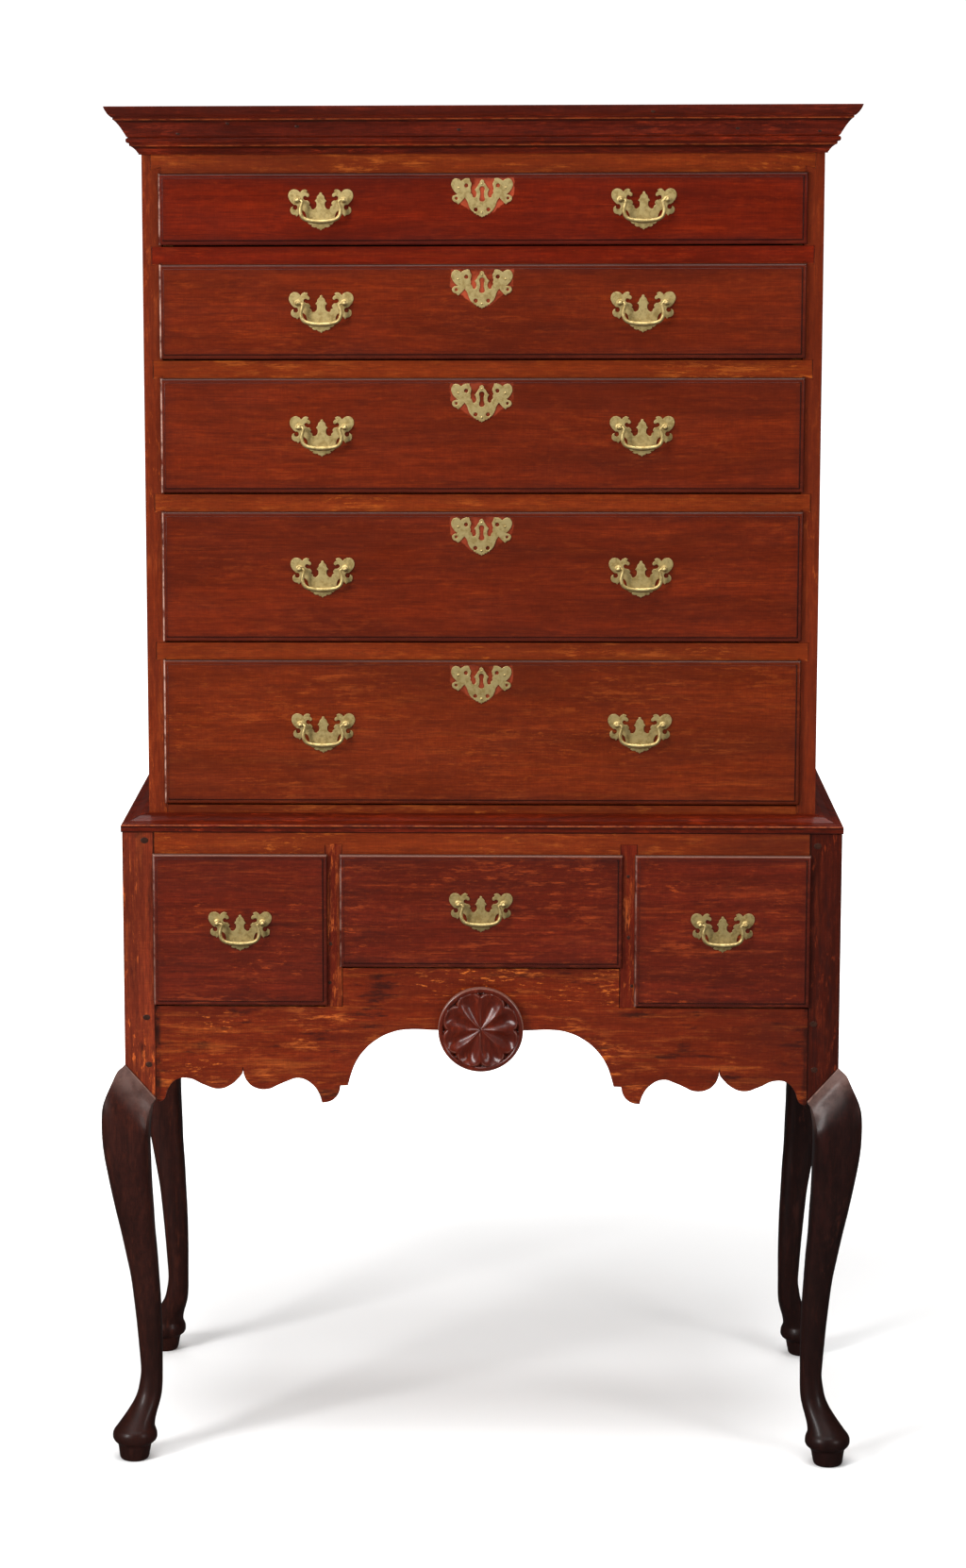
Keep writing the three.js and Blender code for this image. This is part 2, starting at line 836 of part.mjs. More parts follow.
function bail() {
  const stations = bailHalf.map(([x, z, r]) => [x * bailHalfWidth, -z * bailDrop, r]);
  const mirrored = stations.slice(0, -1).map(([x, z, r]) => [-x, z, r]);
  const route = [...stations, ...mirrored.reverse()];
  const points = route.map(([x, z]) => new THREE.Vector3(x, 0, z));
  const across = new THREE.Vector3(0, 1, 0);
  const rings = points.map((point, i) => {
    const before = points[Math.max(i - 1, 0)];
    const after = points[Math.min(i + 1, points.length - 1)];
    const along = after.clone().sub(before).normalize();
    const out = new THREE.Vector3().crossVectors(across, along);
    return Array.from({ length: bailSides }, (_, k) => {
      const turn = (2 * Math.PI * (k + 1 / 2)) / bailSides;
      return point
        .clone()
        .addScaledVector(out, route[i][2] * Math.cos(turn))
        .addScaledVector(across, route[i][2] * Math.sin(turn));
    });
  });
  return loft(rings, (p) => new THREE.Vector2(p.y, p.z));
}

// Finishes

const finishes = {
  front: { color: 0x6b2317, roughness: 0.42, metalness: 0 },
  rail: { color: 0x8a3a1c, roughness: 0.45, metalness: 0 },
  case: { color: 0x6f2b19, roughness: 0.48, metalness: 0 },
  leg: { color: 0x33170f, roughness: 0.4, metalness: 0 },
  moulding: { color: 0x5f2216, roughness: 0.4, metalness: 0 },
  pine: { color: 0xa0754a, roughness: 0.8, metalness: 0 },
  brass: { color: 0xb59a5a, roughness: 0.35, metalness: 1 },
};

const highboy = new THREE.Group();

function add(name, geometry, finish, parent = highboy) {
  const mesh = new THREE.Mesh(geometry, new THREE.MeshStandardMaterial(finishes[finish]));
  mesh.name = name;
  parent.add(mesh);
  return mesh;
}

// Lower case
for (const [end, sideY] of [["front", -1], ["rear", 1]]) {
  add(`leg_${end}_left`, leg(-1, sideY), "leg");
  add(`leg_${end}_right`, leg(1, sideY), "leg");
}
add("skirt", skirt(), "rail");
add("lower_top_rail", lowerTopRail(), "rail");
add("lower_side_left", lowerSide(-1), "case");
add("lower_side_right", lowerSide(1), "case");
add("lower_back", lowerBackBoard(), "pine");
add("waist_moulding", waistMoulding(), "moulding");
add("rosette", rosette(), "moulding");

// Upper case
add("upper_side_left", upperSide(-1), "case");
add("upper_side_right", upperSide(1), "case");
bladeFloors.forEach((floor, n) => add(`drawer_blade_${n + 1}`, blade(floor), "rail"));
add("upper_top", upperTop(), "rail");
add("upper_bottom", upperBottom(), "rail");
add("upper_back", upperBackBoard(), "pine");
add("cornice", cornice(), "moulding");

// One drawer with its brasses. The pulls are given by their places across the front.
function addDrawer(label, opening, caseFront, backFace, pulls, hasEscutcheon) {
  const group = new THREE.Group();
  add(`drawer_${label}`, drawer(opening, caseFront, backFace), "front", group);
  const faceY = caseFront - lipProud - seat;
  const frontFloor = opening.floor + bottomReveal;
  const frontCeiling = opening.ceiling + topLip;
  const pinLevel = (frontFloor + frontCeiling) / 2 + pullAxisRise;
  for (const [suffix, x] of pulls) {
    const plate = add(`pull_plate_${label}${suffix}`, pullPlate(), "brass", group);
    plate.position.set(x, faceY, pinLevel);
    const handle = add(`bail_${label}${suffix}`, bail(), "brass", group);
    handle.position.set(x, faceY - plateThickness - pinStandoff, pinLevel);
  }
  if (hasEscutcheon) {
    const plate = add(`escutcheon_${label}`, escutcheon(), "brass", group);
    plate.position.set(0, faceY, frontCeiling - escutcheonDrop);
  }
  highboy.add(group);
}

const pairOfPulls = [
  ["_left", -pullSpacing / 2],
  ["_right", pullSpacing / 2],
];

upperOpenings.forEach(({ floor, ceiling }, n) => {
  const opening = {
    left: -upperOpeningHalf,
    right: upperOpeningHalf,
    floor,
    ceiling,
    leftLip: sideLip,
    rightLip: sideLip,
  };
  addDrawer(`upper_${n + 1}`, opening, upperFront, upperBackFace, pairOfPulls, true);
});

const lowerOpenings = {
  left: {
    left: -postInner,
    right: -dividerOuter,
    floor: sideOpeningFloor,
    ceiling: openingTop,
    leftLip: postLip,
    rightLip: sideLip,
  },
  centre: {
    left: -dividerInner,
    right: dividerInner,
    floor: centreOpeningFloor,
    ceiling: openingTop,
    leftLip: sideLip,
    rightLip: sideLip,
  },
  right: {
    left: dividerOuter,
    right: postInner,
    floor: sideOpeningFloor,
    ceiling: openingTop,
    leftLip: sideLip,
    rightLip: postLip,
  },
};

for (const [label, opening] of Object.entries(lowerOpenings)) {
  const middle = (opening.left - opening.leftLip + opening.right + opening.rightLip) / 2;
  addDrawer(`lower_${label}`, opening, lowerFront, lowerBackFace, [["", middle]], false);
}

export default highboy;
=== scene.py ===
"""Looks of a cherry highboy: moulded drawers, cabriole legs, a carved rosette and pierced brasses.

The solids of the frame say where everything is. Each class below builds one sub-assembly over its
solids, dresses it in its finish and lets it ride on the body that carries it.
"""

from __future__ import annotations

import json
import logging
import math
from dataclasses import dataclass, field
from enum import Enum

import bmesh
import bpy
from mathutils import Matrix, Vector

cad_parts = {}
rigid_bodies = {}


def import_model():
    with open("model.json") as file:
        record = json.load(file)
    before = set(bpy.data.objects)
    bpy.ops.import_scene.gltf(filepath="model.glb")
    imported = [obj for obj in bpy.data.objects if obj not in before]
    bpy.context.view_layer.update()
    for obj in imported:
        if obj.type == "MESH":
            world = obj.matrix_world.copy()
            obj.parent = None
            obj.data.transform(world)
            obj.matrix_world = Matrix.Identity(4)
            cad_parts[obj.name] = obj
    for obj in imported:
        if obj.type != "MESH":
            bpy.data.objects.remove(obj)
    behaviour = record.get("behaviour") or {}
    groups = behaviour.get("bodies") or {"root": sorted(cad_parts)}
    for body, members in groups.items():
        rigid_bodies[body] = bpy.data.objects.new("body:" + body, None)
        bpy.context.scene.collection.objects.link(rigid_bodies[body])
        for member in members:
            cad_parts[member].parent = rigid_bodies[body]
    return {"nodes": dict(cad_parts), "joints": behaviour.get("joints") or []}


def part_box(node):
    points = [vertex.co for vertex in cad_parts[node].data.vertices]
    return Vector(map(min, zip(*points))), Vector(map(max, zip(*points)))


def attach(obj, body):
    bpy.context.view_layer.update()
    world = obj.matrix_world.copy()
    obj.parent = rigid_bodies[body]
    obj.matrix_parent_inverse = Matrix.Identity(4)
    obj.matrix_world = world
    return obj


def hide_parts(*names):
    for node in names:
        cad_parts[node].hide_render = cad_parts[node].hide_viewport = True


LOG = logging.getLogger("highboy")
MM = 0.001
SEAT = 0.3 * MM  # the gap that the solids keep between two pieces that touch
SAME_PLACE = 1e-6  # corners of a mesh that are nearer than this become one
UPPER_FRONT = -226 * MM  # the depth of the upper case's front
LOWER_FRONT = -254 * MM  # the depth of the lower case's front
VECTOR, COLOUR, NUMBER = "NodeSocketVector", "NodeSocketColor", "NodeSocketFloat"
ALONG_X = (1.0, 0.0, 0.0)
UPWARDS = (0.0, 0.0, 1.0)

Piece = bpy.types.Object
Socket = bpy.types.NodeSocket
Colour = tuple[float, float, float, float]
Triple = tuple[float, float, float]
Point = tuple[float, float]
Outline = list[tuple[float, float, bool]]


class Grain(Enum):
    """The way a board's grain runs, with the turn that lays it along X."""

    ACROSS = (0.0, 0.0, 0.0)
    UPRIGHT = (0.0, math.pi / 2, 0.0)
    DEEP = (0.0, 0.0, -math.pi / 2)


class Facing(Enum):
    """The way a face points."""

    FRONT = (0.0, -1.0, 0.0)
    BACK = (0.0, 1.0, 0.0)


class Bench:
    """The bench tools: short steps made of the modelling operators."""

    @staticmethod
    def clear() -> None:
        """Leaves nothing selected and no mode open."""
        if bpy.context.object is not None and bpy.context.object.mode != "OBJECT":
            bpy.ops.object.mode_set(mode="OBJECT")
        bpy.ops.object.select_all(action="DESELECT")

    @staticmethod
    def pick(*pieces: Piece) -> None:
        """Selects pieces alone and makes the first one active.

        Args:
            pieces: The piece to work on, and any others.
        """
        Bench.clear()
        for piece in pieces:
            piece.select_set(True)
        bpy.context.view_layer.objects.active = pieces[0]

    @staticmethod
    def edit(piece: Piece) -> bmesh.types.BMesh:
        """Opens a piece in edit mode with nothing selected.

        Args:
            piece: The piece to edit.

        Returns:
            Its edit mesh.
        """
        Bench.pick(piece)
        bpy.ops.object.mode_set(mode="EDIT")
        bpy.ops.mesh.select_mode(type="FACE")
        bpy.ops.mesh.select_all(action="DESELECT")
        return bmesh.from_edit_mesh(piece.data)

    @staticmethod
    def close(piece: Piece) -> None:
        """Leaves edit mode."""
        bmesh.update_edit_mesh(piece.data)
        bpy.ops.object.mode_set(mode="OBJECT")

    @staticmethod
    def settle(piece: Piece) -> None:
        """Puts a piece's place, turn and scale into its mesh."""
        Bench.pick(piece)
        bpy.ops.object.transform_apply(location=True, rotation=True, scale=True)

    @staticmethod
    def block(name: str, low: Vector | Triple, high: Vector | Triple) -> Piece:
        """Adds a block.

        Args:
            name: Its name.
            low: Its lowest corner.
            high: Its highest corner.

        Returns:
            The block, settled.
        """
        Bench.clear()
        low, high = Vector(low), Vector(high)
        bpy.ops.mesh.primitive_cube_add(size=1, location=(low + high) / 2, scale=high - low)
        piece = bpy.context.object
        piece.name = name
        Bench.settle(piece)
        return piece

    @staticmethod
    def select_facing(piece: Piece, facing: Facing, aligned: float = 0.99) -> None:
        """Selects the faces of an open piece that point one way.

        Args:
            piece: The piece, open in edit mode.
            facing: The way.
            aligned: The least cosine between a face's normal and that way.
        """
        mesh = bmesh.from_edit_mesh(piece.data)
        mesh.normal_update()
        for face in [f for f in mesh.faces if f.normal.dot(Vector(facing.value)) > aligned]:
            face.select_set(True)

    @staticmethod
    def modify(piece: Piece, kind: str, **settings: object) -> None:
        """Adds a modifier and applies it.

        Args:
            piece: The piece.
            kind: The modifier's type.
            settings: Its settings by name.
        """
        Bench.pick(piece)
        bpy.ops.object.modifier_add(type=kind)
        modifier = piece.modifiers[-1]
        for key, value in settings.items():
            setattr(modifier, key, value)
        bpy.ops.object.modifier_apply(modifier=modifier.name)

    @staticmethod
    def ease(piece: Piece, width: float, segments: int = 2, angle: float = 40.0) -> None:
        """Rounds the edges that are sharper than an angle, as use and sandpaper do."""
        Bench.modify(piece, "BEVEL", width=width, segments=segments, limit_method="ANGLE",
                     angle_limit=math.radians(angle))

    @staticmethod
    def smooth(piece: Piece, angle: float = 35.0, flats: bool = True) -> None:
        """Shades a piece smooth, apart from its sharp edges.

        Args:
            piece: The piece.
            angle: The turn, in degrees, from which an edge is sharp.
            flats: Whether its large faces stay flat up to their eased edges.
        """
        Bench.pick(piece)
        bpy.ops.object.shade_smooth_by_angle(angle=math.radians(angle))
        if flats:
            Bench.modify(piece, "WEIGHTED_NORMAL", keep_sharp=True)

    @staticmethod
    def face_out(piece: Piece, level: float | None = None) -> None:
        """Makes every face of a closed piece point outwards.

        Args:
            piece: The piece.
            level: The turn, in degrees, up to which two faces become one, or none.
        """
        Bench.edit(piece)
        bpy.ops.mesh.select_all(action="SELECT")
        bpy.ops.mesh.remove_doubles(threshold=SAME_PLACE)
        if level is not None:
            bpy.ops.mesh.dissolve_limited(angle_limit=math.radians(level))
        bpy.ops.mesh.normals_make_consistent(inside=False)
        Bench.close(piece)

    @staticmethod
    def loft(name: str, rings: list[list[Vector]]) -> Piece:
        """Extrudes a filled circle from ring to ring.

        Args:
            name: The piece's name.
            rings: Rings of equally many points, from one end to the other.

        Returns:
            The closed piece.
        """
        Bench.clear()
        bpy.ops.mesh.primitive_circle_add(vertices=len(rings[0]), fill_type="NGON")
        piece = bpy.context.object
        piece.name = name
        face = Bench.edit(piece).faces[:][0]
        for vert, point in zip(face.verts, rings[0]):
            vert.co = point
        face.select_set(True)
        for ring in rings[1:]:
            bpy.ops.mesh.extrude_region_move()
            face = next(f for f in bmesh.from_edit_mesh(piece.data).faces if f.select)
            for vert, point in zip(face.verts, ring):
                vert.co = point
        Bench.close(piece)
        Bench.face_out(piece)
        return piece

    @staticmethod
    def turn(name: str, place: Vector, stations: list[Point], sides: int, wide: float = 1.0,
             high: float = 1.0, start: float = 0.0) -> Piece:
        """Turns a piece that points to the front.

        Args:
            name: Its name.
            place: Where its axis starts.
            stations: The radius and the height of each ring.
            sides: The number of its sides.
            wide: How much the radius is drawn out across.
            high: How much it is drawn out upwards.
            start: The angle of its first side.

        Returns:
            The piece.
        """
        angles = [math.tau * k / sides + start for k in range(sides)]
        return Bench.loft(name, [
            [place + Vector((wide * radius * math.cos(a), -height, high * radius * math.sin(a)))
             for a in angles] for radius, height in stations])

    @staticmethod
    def from_curve(curve: bpy.types.Curve, points: list[Triple]) -> bpy.types.Spline:
        """Lays a smooth spline through points.

        Args:
            curve: The curve that gets the spline.
            points: The points.

        Returns:
            The spline.
        """
        spline = curve.splines.new("BEZIER")
        spline.bezier_points.add(len(points) - 1)
        for point, place in zip(spline.bezier_points, points):
            point.co = place
            point.handle_left_type = point.handle_right_type = "AUTO"
        return spline

    @staticmethod
    def to_mesh(curve: bpy.types.Curve) -> Piece:
        """Turns a curve into a piece of the same name.

        Args:
            curve: The curve.

        Returns:
            The piece.
        """
        piece = bpy.data.objects.new(curve.name, curve)
        bpy.context.collection.objects.link(piece)
        Bench.pick(piece)
        bpy.ops.object.convert(target="MESH")
        return bpy.context.object

    @staticmethod
    def copy(piece: Piece, name: str, shift: Vector) -> Piece:
        """Copies a finished piece to another place, with a mesh of its own.

        Args:
            piece: The pattern piece, at the origin.
            name: The copy's name.
            shift: Where the copy goes.

        Returns:
            The copy, settled.
        """
        Bench.pick(piece)
        bpy.ops.object.duplicate(linked=False)
        twin = bpy.context.object
        twin.name = name
        twin.location = shift
        Bench.settle(twin)
        return twin

    @staticmethod
    def join(piece: Piece, other: Piece) -> None:
        """Joins another piece into this one."""
        Bench.pick(piece, other)
        bpy.ops.object.join()

    @staticmethod
    def discard(*patterns: Piece) -> None:
        """Removes pattern pieces."""
        Bench.pick(*patterns)
        bpy.ops.object.delete()

    @staticmethod
    def carve(piece: Piece, cutter: Piece) -> None:
        """Cuts one piece by another and removes the cutter."""
        Bench.modify(piece, "BOOLEAN", operation="DIFFERENCE", solver="EXACT", object=cutter)
        Bench.discard(cutter)

    @staticmethod
    def eased_node(node: str, name: str, width: float, level: float = 0.5) -> Piece:
        """Copies a solid of the frame with its edges eased.

        Args:
            node: The solid's name.
            name: The new piece's name.
            width: The width of the easing.
            level: The turn, in degrees, up to which two of its faces are one.

        Returns:
            The copy.
        """
        piece = bpy.data.objects.new(name, FRAME["nodes"][node].data.copy())
        piece.data.materials.clear()
        bpy.context.collection.objects.link(piece)
        Bench.face_out(piece, level)
        normals = piece.data.attributes.get("custom_normal")
        if normals is not None:
            piece.data.attributes.remove(normals)
        Bench.ease(piece, width)
        Bench.smooth(piece)
        return piece


class Nodes:
    """Builds a node tree: adds nodes and links them by socket name."""

    def __init__(self, tree: bpy.types.NodeTree) -> None:
        """Starts on a tree."""
        self.tree = tree

    def add(self, kind: str, links: dict | None = None, **values) -> bpy.types.Node:
        """Adds a node.

        Args:
            kind: The node's type name.
            links: Its input sockets by name or number, each a socket to link or a plain value.
            values: Its own settings.

        Returns:
            The node.
        """
        node = self.tree.nodes.new(kind)
        for key, value in values.items():
            setattr(node, key, value)
        self.fill(node, links or {})
        return node

    def feed(self, socket: Socket, value: object) -> None:
        """Links an input socket to another socket, or sets its plain value.

        Args:
            socket: The input socket.
            value: An output socket, or a value.
        """
        if isinstance(value, Socket):
            self.tree.links.new(value, socket)
        else:
            socket.default_value = value

    def fill(self, node: bpy.types.Node, links: dict) -> None:
        """Feeds a node's inputs, given by name or number."""
        for key, value in links.items():
            self.feed(node.inputs[key], value)

    def group(self, tree: bpy.types.NodeTree, **inputs) -> dict[str, Socket]:
        """Adds a shared group with its inputs, and gives its outputs by name."""
        node = self.add("ShaderNodeGroup", inputs, node_tree=tree)
        return {socket.name: socket for socket in node.outputs}

    def math(self, operation: str, *terms: object, clamp: bool = False) -> Socket:
        """Adds a Math node, whose result may be held between 0 and 1."""
        return self.add("ShaderNodeMath", dict(enumerate(terms)), operation=operation,
                        use_clamp=clamp).outputs[0]

    def times(self, first: object, second: object, clamp: bool = False) -> Socket:
        """Multiplies two terms."""
        return self.math("MULTIPLY", first, second, clamp=clamp)

    def plus(self, first: object, second: object, clamp: bool = False) -> Socket:
        """Adds two terms."""
        return self.math("ADD", first, second, clamp=clamp)

    def minus(self, first: object, second: object, clamp: bool = False) -> Socket:
        """Subtracts the second term from the first."""
        return self.math("SUBTRACT", first, second, clamp=clamp)

    def least(self, *terms: object) -> Socket:
        """Gives the least of some terms.

        Args:
            terms: Two terms or more.

        Returns:
            The least of them.
        """
        result = terms[0]
        for term in terms[1:]:
            result = self.math("MINIMUM", result, term)
        return result

    def vector(self, operation: str, first: object, second: object, output: str = "Vector") -> Socket:
        """Adds a Vector Math node."""
        node = self.add("ShaderNodeVectorMath", {0: first, 1: second}, operation=operation)
        return node.outputs[output]

    def parts(self, vector: object) -> list[Socket]:
        """Takes a vector apart into its across, deep and up parts."""
        return list(self.add("ShaderNodeSeparateXYZ", {0: vector}).outputs)

    def noise(self, vector: object, scale: float, detail: float, rough: float = 0.55) -> Socket:
        """Adds a noise texture, with its octaves and how strong the finer ones are."""
        return self.add("ShaderNodeTexNoise", {"Vector": vector, "Scale": scale, "Detail": detail,
                                               "Roughness": rough}).outputs["Fac"]

    def ramp(self, value: object, low: float, high: float) -> Socket:
        """Maps a value smoothly to 0 at low and to 1 at high."""
        return self.add("ShaderNodeMapRange", {"Value": value, "From Min": low, "From Max": high},
                        interpolation_type="SMOOTHSTEP").outputs[0]

    def mix(self, share: object, first: object, second: object) -> Socket:
        """Mixes a share of a second colour into a first."""
        return self.add("ShaderNodeMix", {0: share, 6: first, 7: second}, data_type="RGBA").outputs[2]

    def tint(self, tone: object, mask: object, strength: float, colour: object) -> Socket:
        """Mixes a colour into a tone where a mask lets it."""
        return self.mix(self.times(mask, strength), tone, colour)

    def bump(self, height: object, strength: float, distance: float) -> Socket:
        """Adds a bump and gives its normal."""
        return self.add("ShaderNodeBump", {"Height": height, "Strength": strength,
                                           "Distance": distance}).outputs[0]


def group_tree(name: str, inputs: dict[str, str], outputs: dict[str, str]) -> tuple[Nodes, dict, dict]:
    """Starts a shader node group.

    Args:
        name: The group's name.
        inputs: Input names and socket types.
        outputs: Output names and socket types.

    Returns:
        The tree's builder, its input sockets and its output sockets.
    """
    tree = bpy.data.node_groups.new(name, "ShaderNodeTree")
    for way, sockets in (("INPUT", inputs), ("OUTPUT", outputs)):
        for label, kind in sockets.items():
            tree.interface.new_socket(name=label, in_out=way, socket_type=kind)
    start, end = tree.nodes.new("NodeGroupInput"), tree.nodes.new("NodeGroupOutput")
    return Nodes(tree), {s.name: s for s in start.outputs}, {s.name: s for s in end.inputs}


def new_material(name: str) -> tuple[bpy.types.Material, Nodes, bpy.types.Node, Socket]:
    """Starts a material.

    Args:
        name: Its name.

    Returns:
        The material, its node builder, its shader and the object coordinates.
    """
    material = bpy.data.materials.new(name)
    material.use_nodes = True
    n = Nodes(material.node_tree)
    place = n.add("ShaderNodeTexCoord").outputs["Object"]
    return material, n, material.node_tree.nodes["Principled BSDF"], place


def linear(*shades: int) -> Colour:
    """Turns a colour as the eye names it, 0 to 255, into the shader's linear values.

    Args:
        shades: Its red, green and blue.

    Returns:
        The linear colour with full alpha.
    """
    shares = [shade / 255 for shade in shades]
    return (*(s / 12.92 if s <= 0.04045 else ((s + 0.055) / 1.055) ** 2.4 for s in shares), 1.0)


RUBBED = linear(150, 112, 98)  # varnish worn grey along an arris
LIP_WEAR_AND_HIGHLIGHT = linear(178, 138, 122)  # varnish worn pale on the left lip of a drawer, with a painted highlight where the light from the left catches it
BARE = linear(196, 100, 44)  # wood worn bare along an arris
DUSTY = linear(54, 27, 18)  # grime and dust on a ledge
PALE_DUST_AND_HIGHLIGHT = linear(112, 74, 60)  # dust and a painted highlight on the top lip of a lower drawer
KNEE_SHEEN = linear(110, 85, 78)  # painted sheen on the top of a knee, where the light from above catches it
PAINTED_SHADE = linear(58, 17, 8)  # painted shade towards an end or a top edge, away from the light
NEAR_BLACK = linear(26, 10, 7)  # near black: dirt in a joint, painted shade in quirks and carved hollows, and the darkening towards a foot
GRIME = linear(44, 15, 12)  # handling dirt round the border of a drawer front
QUIRK_DIRT_AND_SHADE = linear(24, 8, 6)  # dirt and painted shade in the hollow of a moulded edge and at the lip's edge, the shade strongest on the right and bottom
PORE = linear(34, 10, 6)  # the dark of an open pore
STAIN = linear(40, 13, 9)  # an old stain
FADED = linear(148, 62, 38)  # paler wood where an older brass has been
WHITE = (1.0, 1.0, 1.0, 1.0)


@dataclass(frozen=True)
class Layer:
    """One layer of a pattern: noise drawn out along the grain, between two levels."""

    along: float
    across: float
    shift: float
    detail: float
    rough: float = 0.55
    low: float = 0.0
    high: float = 1.0

    def noise(self, n: Nodes, vector: object) -> Socket:
        """Gives the layer's plain noise.

        Args:
            n: The node builder.
            vector: The coordinates, with the grain along X.

        Returns:
            The noise.
        """
        stretched = n.add("ShaderNodeMapping", {
            "Vector": vector, "Scale": (self.along, self.across, self.across),
            "Location": (self.shift, self.shift, self.shift)}).outputs[0]
        return n.noise(stretched, 1.0, self.detail, self.rough)

    def mask(self, n: Nodes, vector: object) -> Socket:
        """Gives the layer as a mask, 0 at its low and 1 at its high level."""
        return n.ramp(self.noise(n, vector), self.low, self.high)


class Groups:
    """The shared node groups: cherry figure, bands of wear, dirt and painted light and shade along
    borders and arrises, and old handled metal.
    """

    figure: bpy.types.NodeTree
    border: bpy.types.NodeTree
    arris: bpy.types.NodeTree
    patina: bpy.types.NodeTree

    @classmethod
    def build(cls) -> None:
        """Builds every shared group once."""
        cls.figure, cls.border = cls._figure(), cls._border()
        cls.arris, cls.patina = cls._arris(), cls._patina()

    @staticmethod
    def _figure() -> bpy.types.NodeTree:
        """Builds the figure of planed and varnished cherry, with grain along X.

        Returns:
            The group's tree.
        """
        n, i, o = group_tree(
            "cherry_figure",
            {"Vector": VECTOR, "Base": COLOUR, "Dark": COLOUR, "Light": COLOUR, "Streaks": NUMBER,
             "Wear": NUMBER, "Smudges": NUMBER},
            {"Color": COLOUR, "Gloss": NUMBER, "Height": NUMBER})
        place, dark, light, wear = i["Vector"], i["Dark"], i["Light"], i["Wear"]
        sway = n.times(Layer(2.2, 5.0, 0.0, 2.0).noise(n, place), 0.02)
        lines = n.vector("ADD", place, n.add("ShaderNodeCombineXYZ", {1: sway, 2: sway}).outputs[0])
        broad = Layer(2.6, 24.0, 0.0, 6.0, 0.66, 0.38, 0.66).mask(n, lines)
        bands = Layer(5.0, 105.0, 3.1, 6.0, 0.68, 0.4, 0.66).mask(n, lines)
        pale = Layer(6.0, 88.0, 9.4, 6.0, 0.7, 0.52, 0.74).mask(n, lines)
        paler = n.plus(n.times(wear, 0.4), 0.12, clamp=True)
        fine = Layer(20.0, 620.0, 1.7, 5.0, 0.7).noise(n, lines)
        brush = Layer(720.0, 60.0, 6.6, 3.0, 0.6).noise(n, place)
        mottle = Layer(60.0, 190.0, 7.7, 6.0, 0.78).noise(n, place)
        pores = Layer(90.0, 1700.0, 5.2, 2.0, 0.5, 0.56, 0.72).mask(n, lines)
        spots = Layer(20.0, 95.0, 2.9, 7.0, 0.76, 0.51, 0.61).mask(n, lines)
        zone = Layer(4.2, 11.0, 4.4, 3.0, 0.6, 0.46, 0.64).mask(n, place)
        worn = n.times(n.times(spots, n.ramp(fine, 0.34, 0.58)), n.times(zone, wear), clamp=True)
        nicks = Layer(46.0, 230.0, 1.3, 5.0, 0.72, 0.57, 0.64).mask(n, lines)
        nicked = Layer(6.5, 15.0, 7.1, 3.0, 0.6, 0.5, 0.64).mask(n, place)
        nicks = n.times(n.times(nicks, nicked), wear, clamp=True)
        stain = Layer(12.0, 60.0, 8.3, 6.0, 0.68, 0.54, 0.68).mask(n, lines)
        stain = n.times(stain, i["Smudges"], clamp=True)
        tone = i["Base"]
        for mask, strength, colour in (
                (broad, 0.58, dark), (n.times(bands, i["Streaks"]), 0.8, dark),
                (n.times(pale, paler), 1.0, light), (n.ramp(fine, 0.6, 0.4), 0.5, dark),
                (n.ramp(brush, 0.6, 0.38), 0.2, dark), (n.ramp(mottle, 0.56, 0.34), 0.3, dark),
                (n.ramp(mottle, 0.52, 0.74), 0.18, light), (pores, 0.32, PORE), (worn, 1.0, light),
                (nicks, 0.9, light), (stain, 0.85, STAIN)):
            tone = n.tint(tone, mask, strength, colour)
        cloud = Layer(9.0, 22.0, 6.1, 5.0, 0.65).noise(n, place)
        plane = Layer(2.0, 11.0, 2.2, 2.0, 0.4).noise(n, place)
        height = n.plus(n.times(fine, 0.12), n.times(pores, -0.14))
        height = n.plus(height, n.times(brush, 0.05))
        n.feed(o["Color"], tone)
        n.feed(o["Gloss"], n.plus(n.plus(n.times(cloud, 0.2), n.times(worn, 0.12)), 0.24))
        n.feed(o["Height"], n.plus(height, n.times(plane, 1.3)))
        return n.tree

    @staticmethod
    def _border() -> bpy.types.NodeTree:
        """Builds the masks that follow the outline of a lipped board that faces the front.

        Returns:
            The group's tree.
        """
        n, i, o = group_tree(
            "border_wear", {"Vector": VECTOR, "Low": VECTOR, "High": VECTOR, "Width": NUMBER},
            {"Grime": NUMBER, "Band": NUMBER, "TopLip": NUMBER, "Line": NUMBER})
        quirk = 6.2 * MM  # how far in the hollow of the thumb moulding lies
        place = i["Vector"]
        ragged = Layer(18.0, 44.0, 0.0, 5.0, 0.66).noise(n, place)
        left, _, bottom = n.parts(n.vector("SUBTRACT", place, i["Low"]))
        right, _, top = n.parts(n.vector("SUBTRACT", i["High"], place))
        shaded = n.least(right, bottom)
        near = n.least(shaded, n.least(left, top))
        reach = n.times(i["Width"], n.plus(n.times(ragged, 1.8), 0.1))
        n.feed(o["Grime"], n.minus(1.0, n.math("DIVIDE", near, reach), clamp=True))
        broken = n.ramp(n.noise(place, 60.0, 5.0, 0.7), 0.36, 0.6)
        # A pale band along the left lip only: wear, and a painted highlight where the light from the
        # left catches the moulding.
        n.feed(o["Band"], n.times(n.ramp(left, 3.2 * MM, 1.4 * MM), broken))
        # A band along the top lip: dust, and on the lower drawers a painted highlight where light from
        # above falls.
        n.feed(o["TopLip"], n.ramp(top, 3.4 * MM, 1.8 * MM))
        # Dirt and painted shade in the quirk and along the lip's outer edge, the painted shade
        # strongest on the right and bottom sides away from the light.
        hollow = n.ramp(n.math("ABSOLUTE", n.minus(near, quirk)), 1.3 * MM, 0.5 * MM)
        deep = n.plus(n.times(n.ramp(shaded, 9 * MM, 7 * MM), 0.75), 0.25)
        edge = n.times(n.ramp(near, 1.0 * MM, 0.4 * MM), 0.8)
        n.feed(o["Line"], n.math("MAXIMUM", n.times(hollow, deep), edge))
        return n.tree

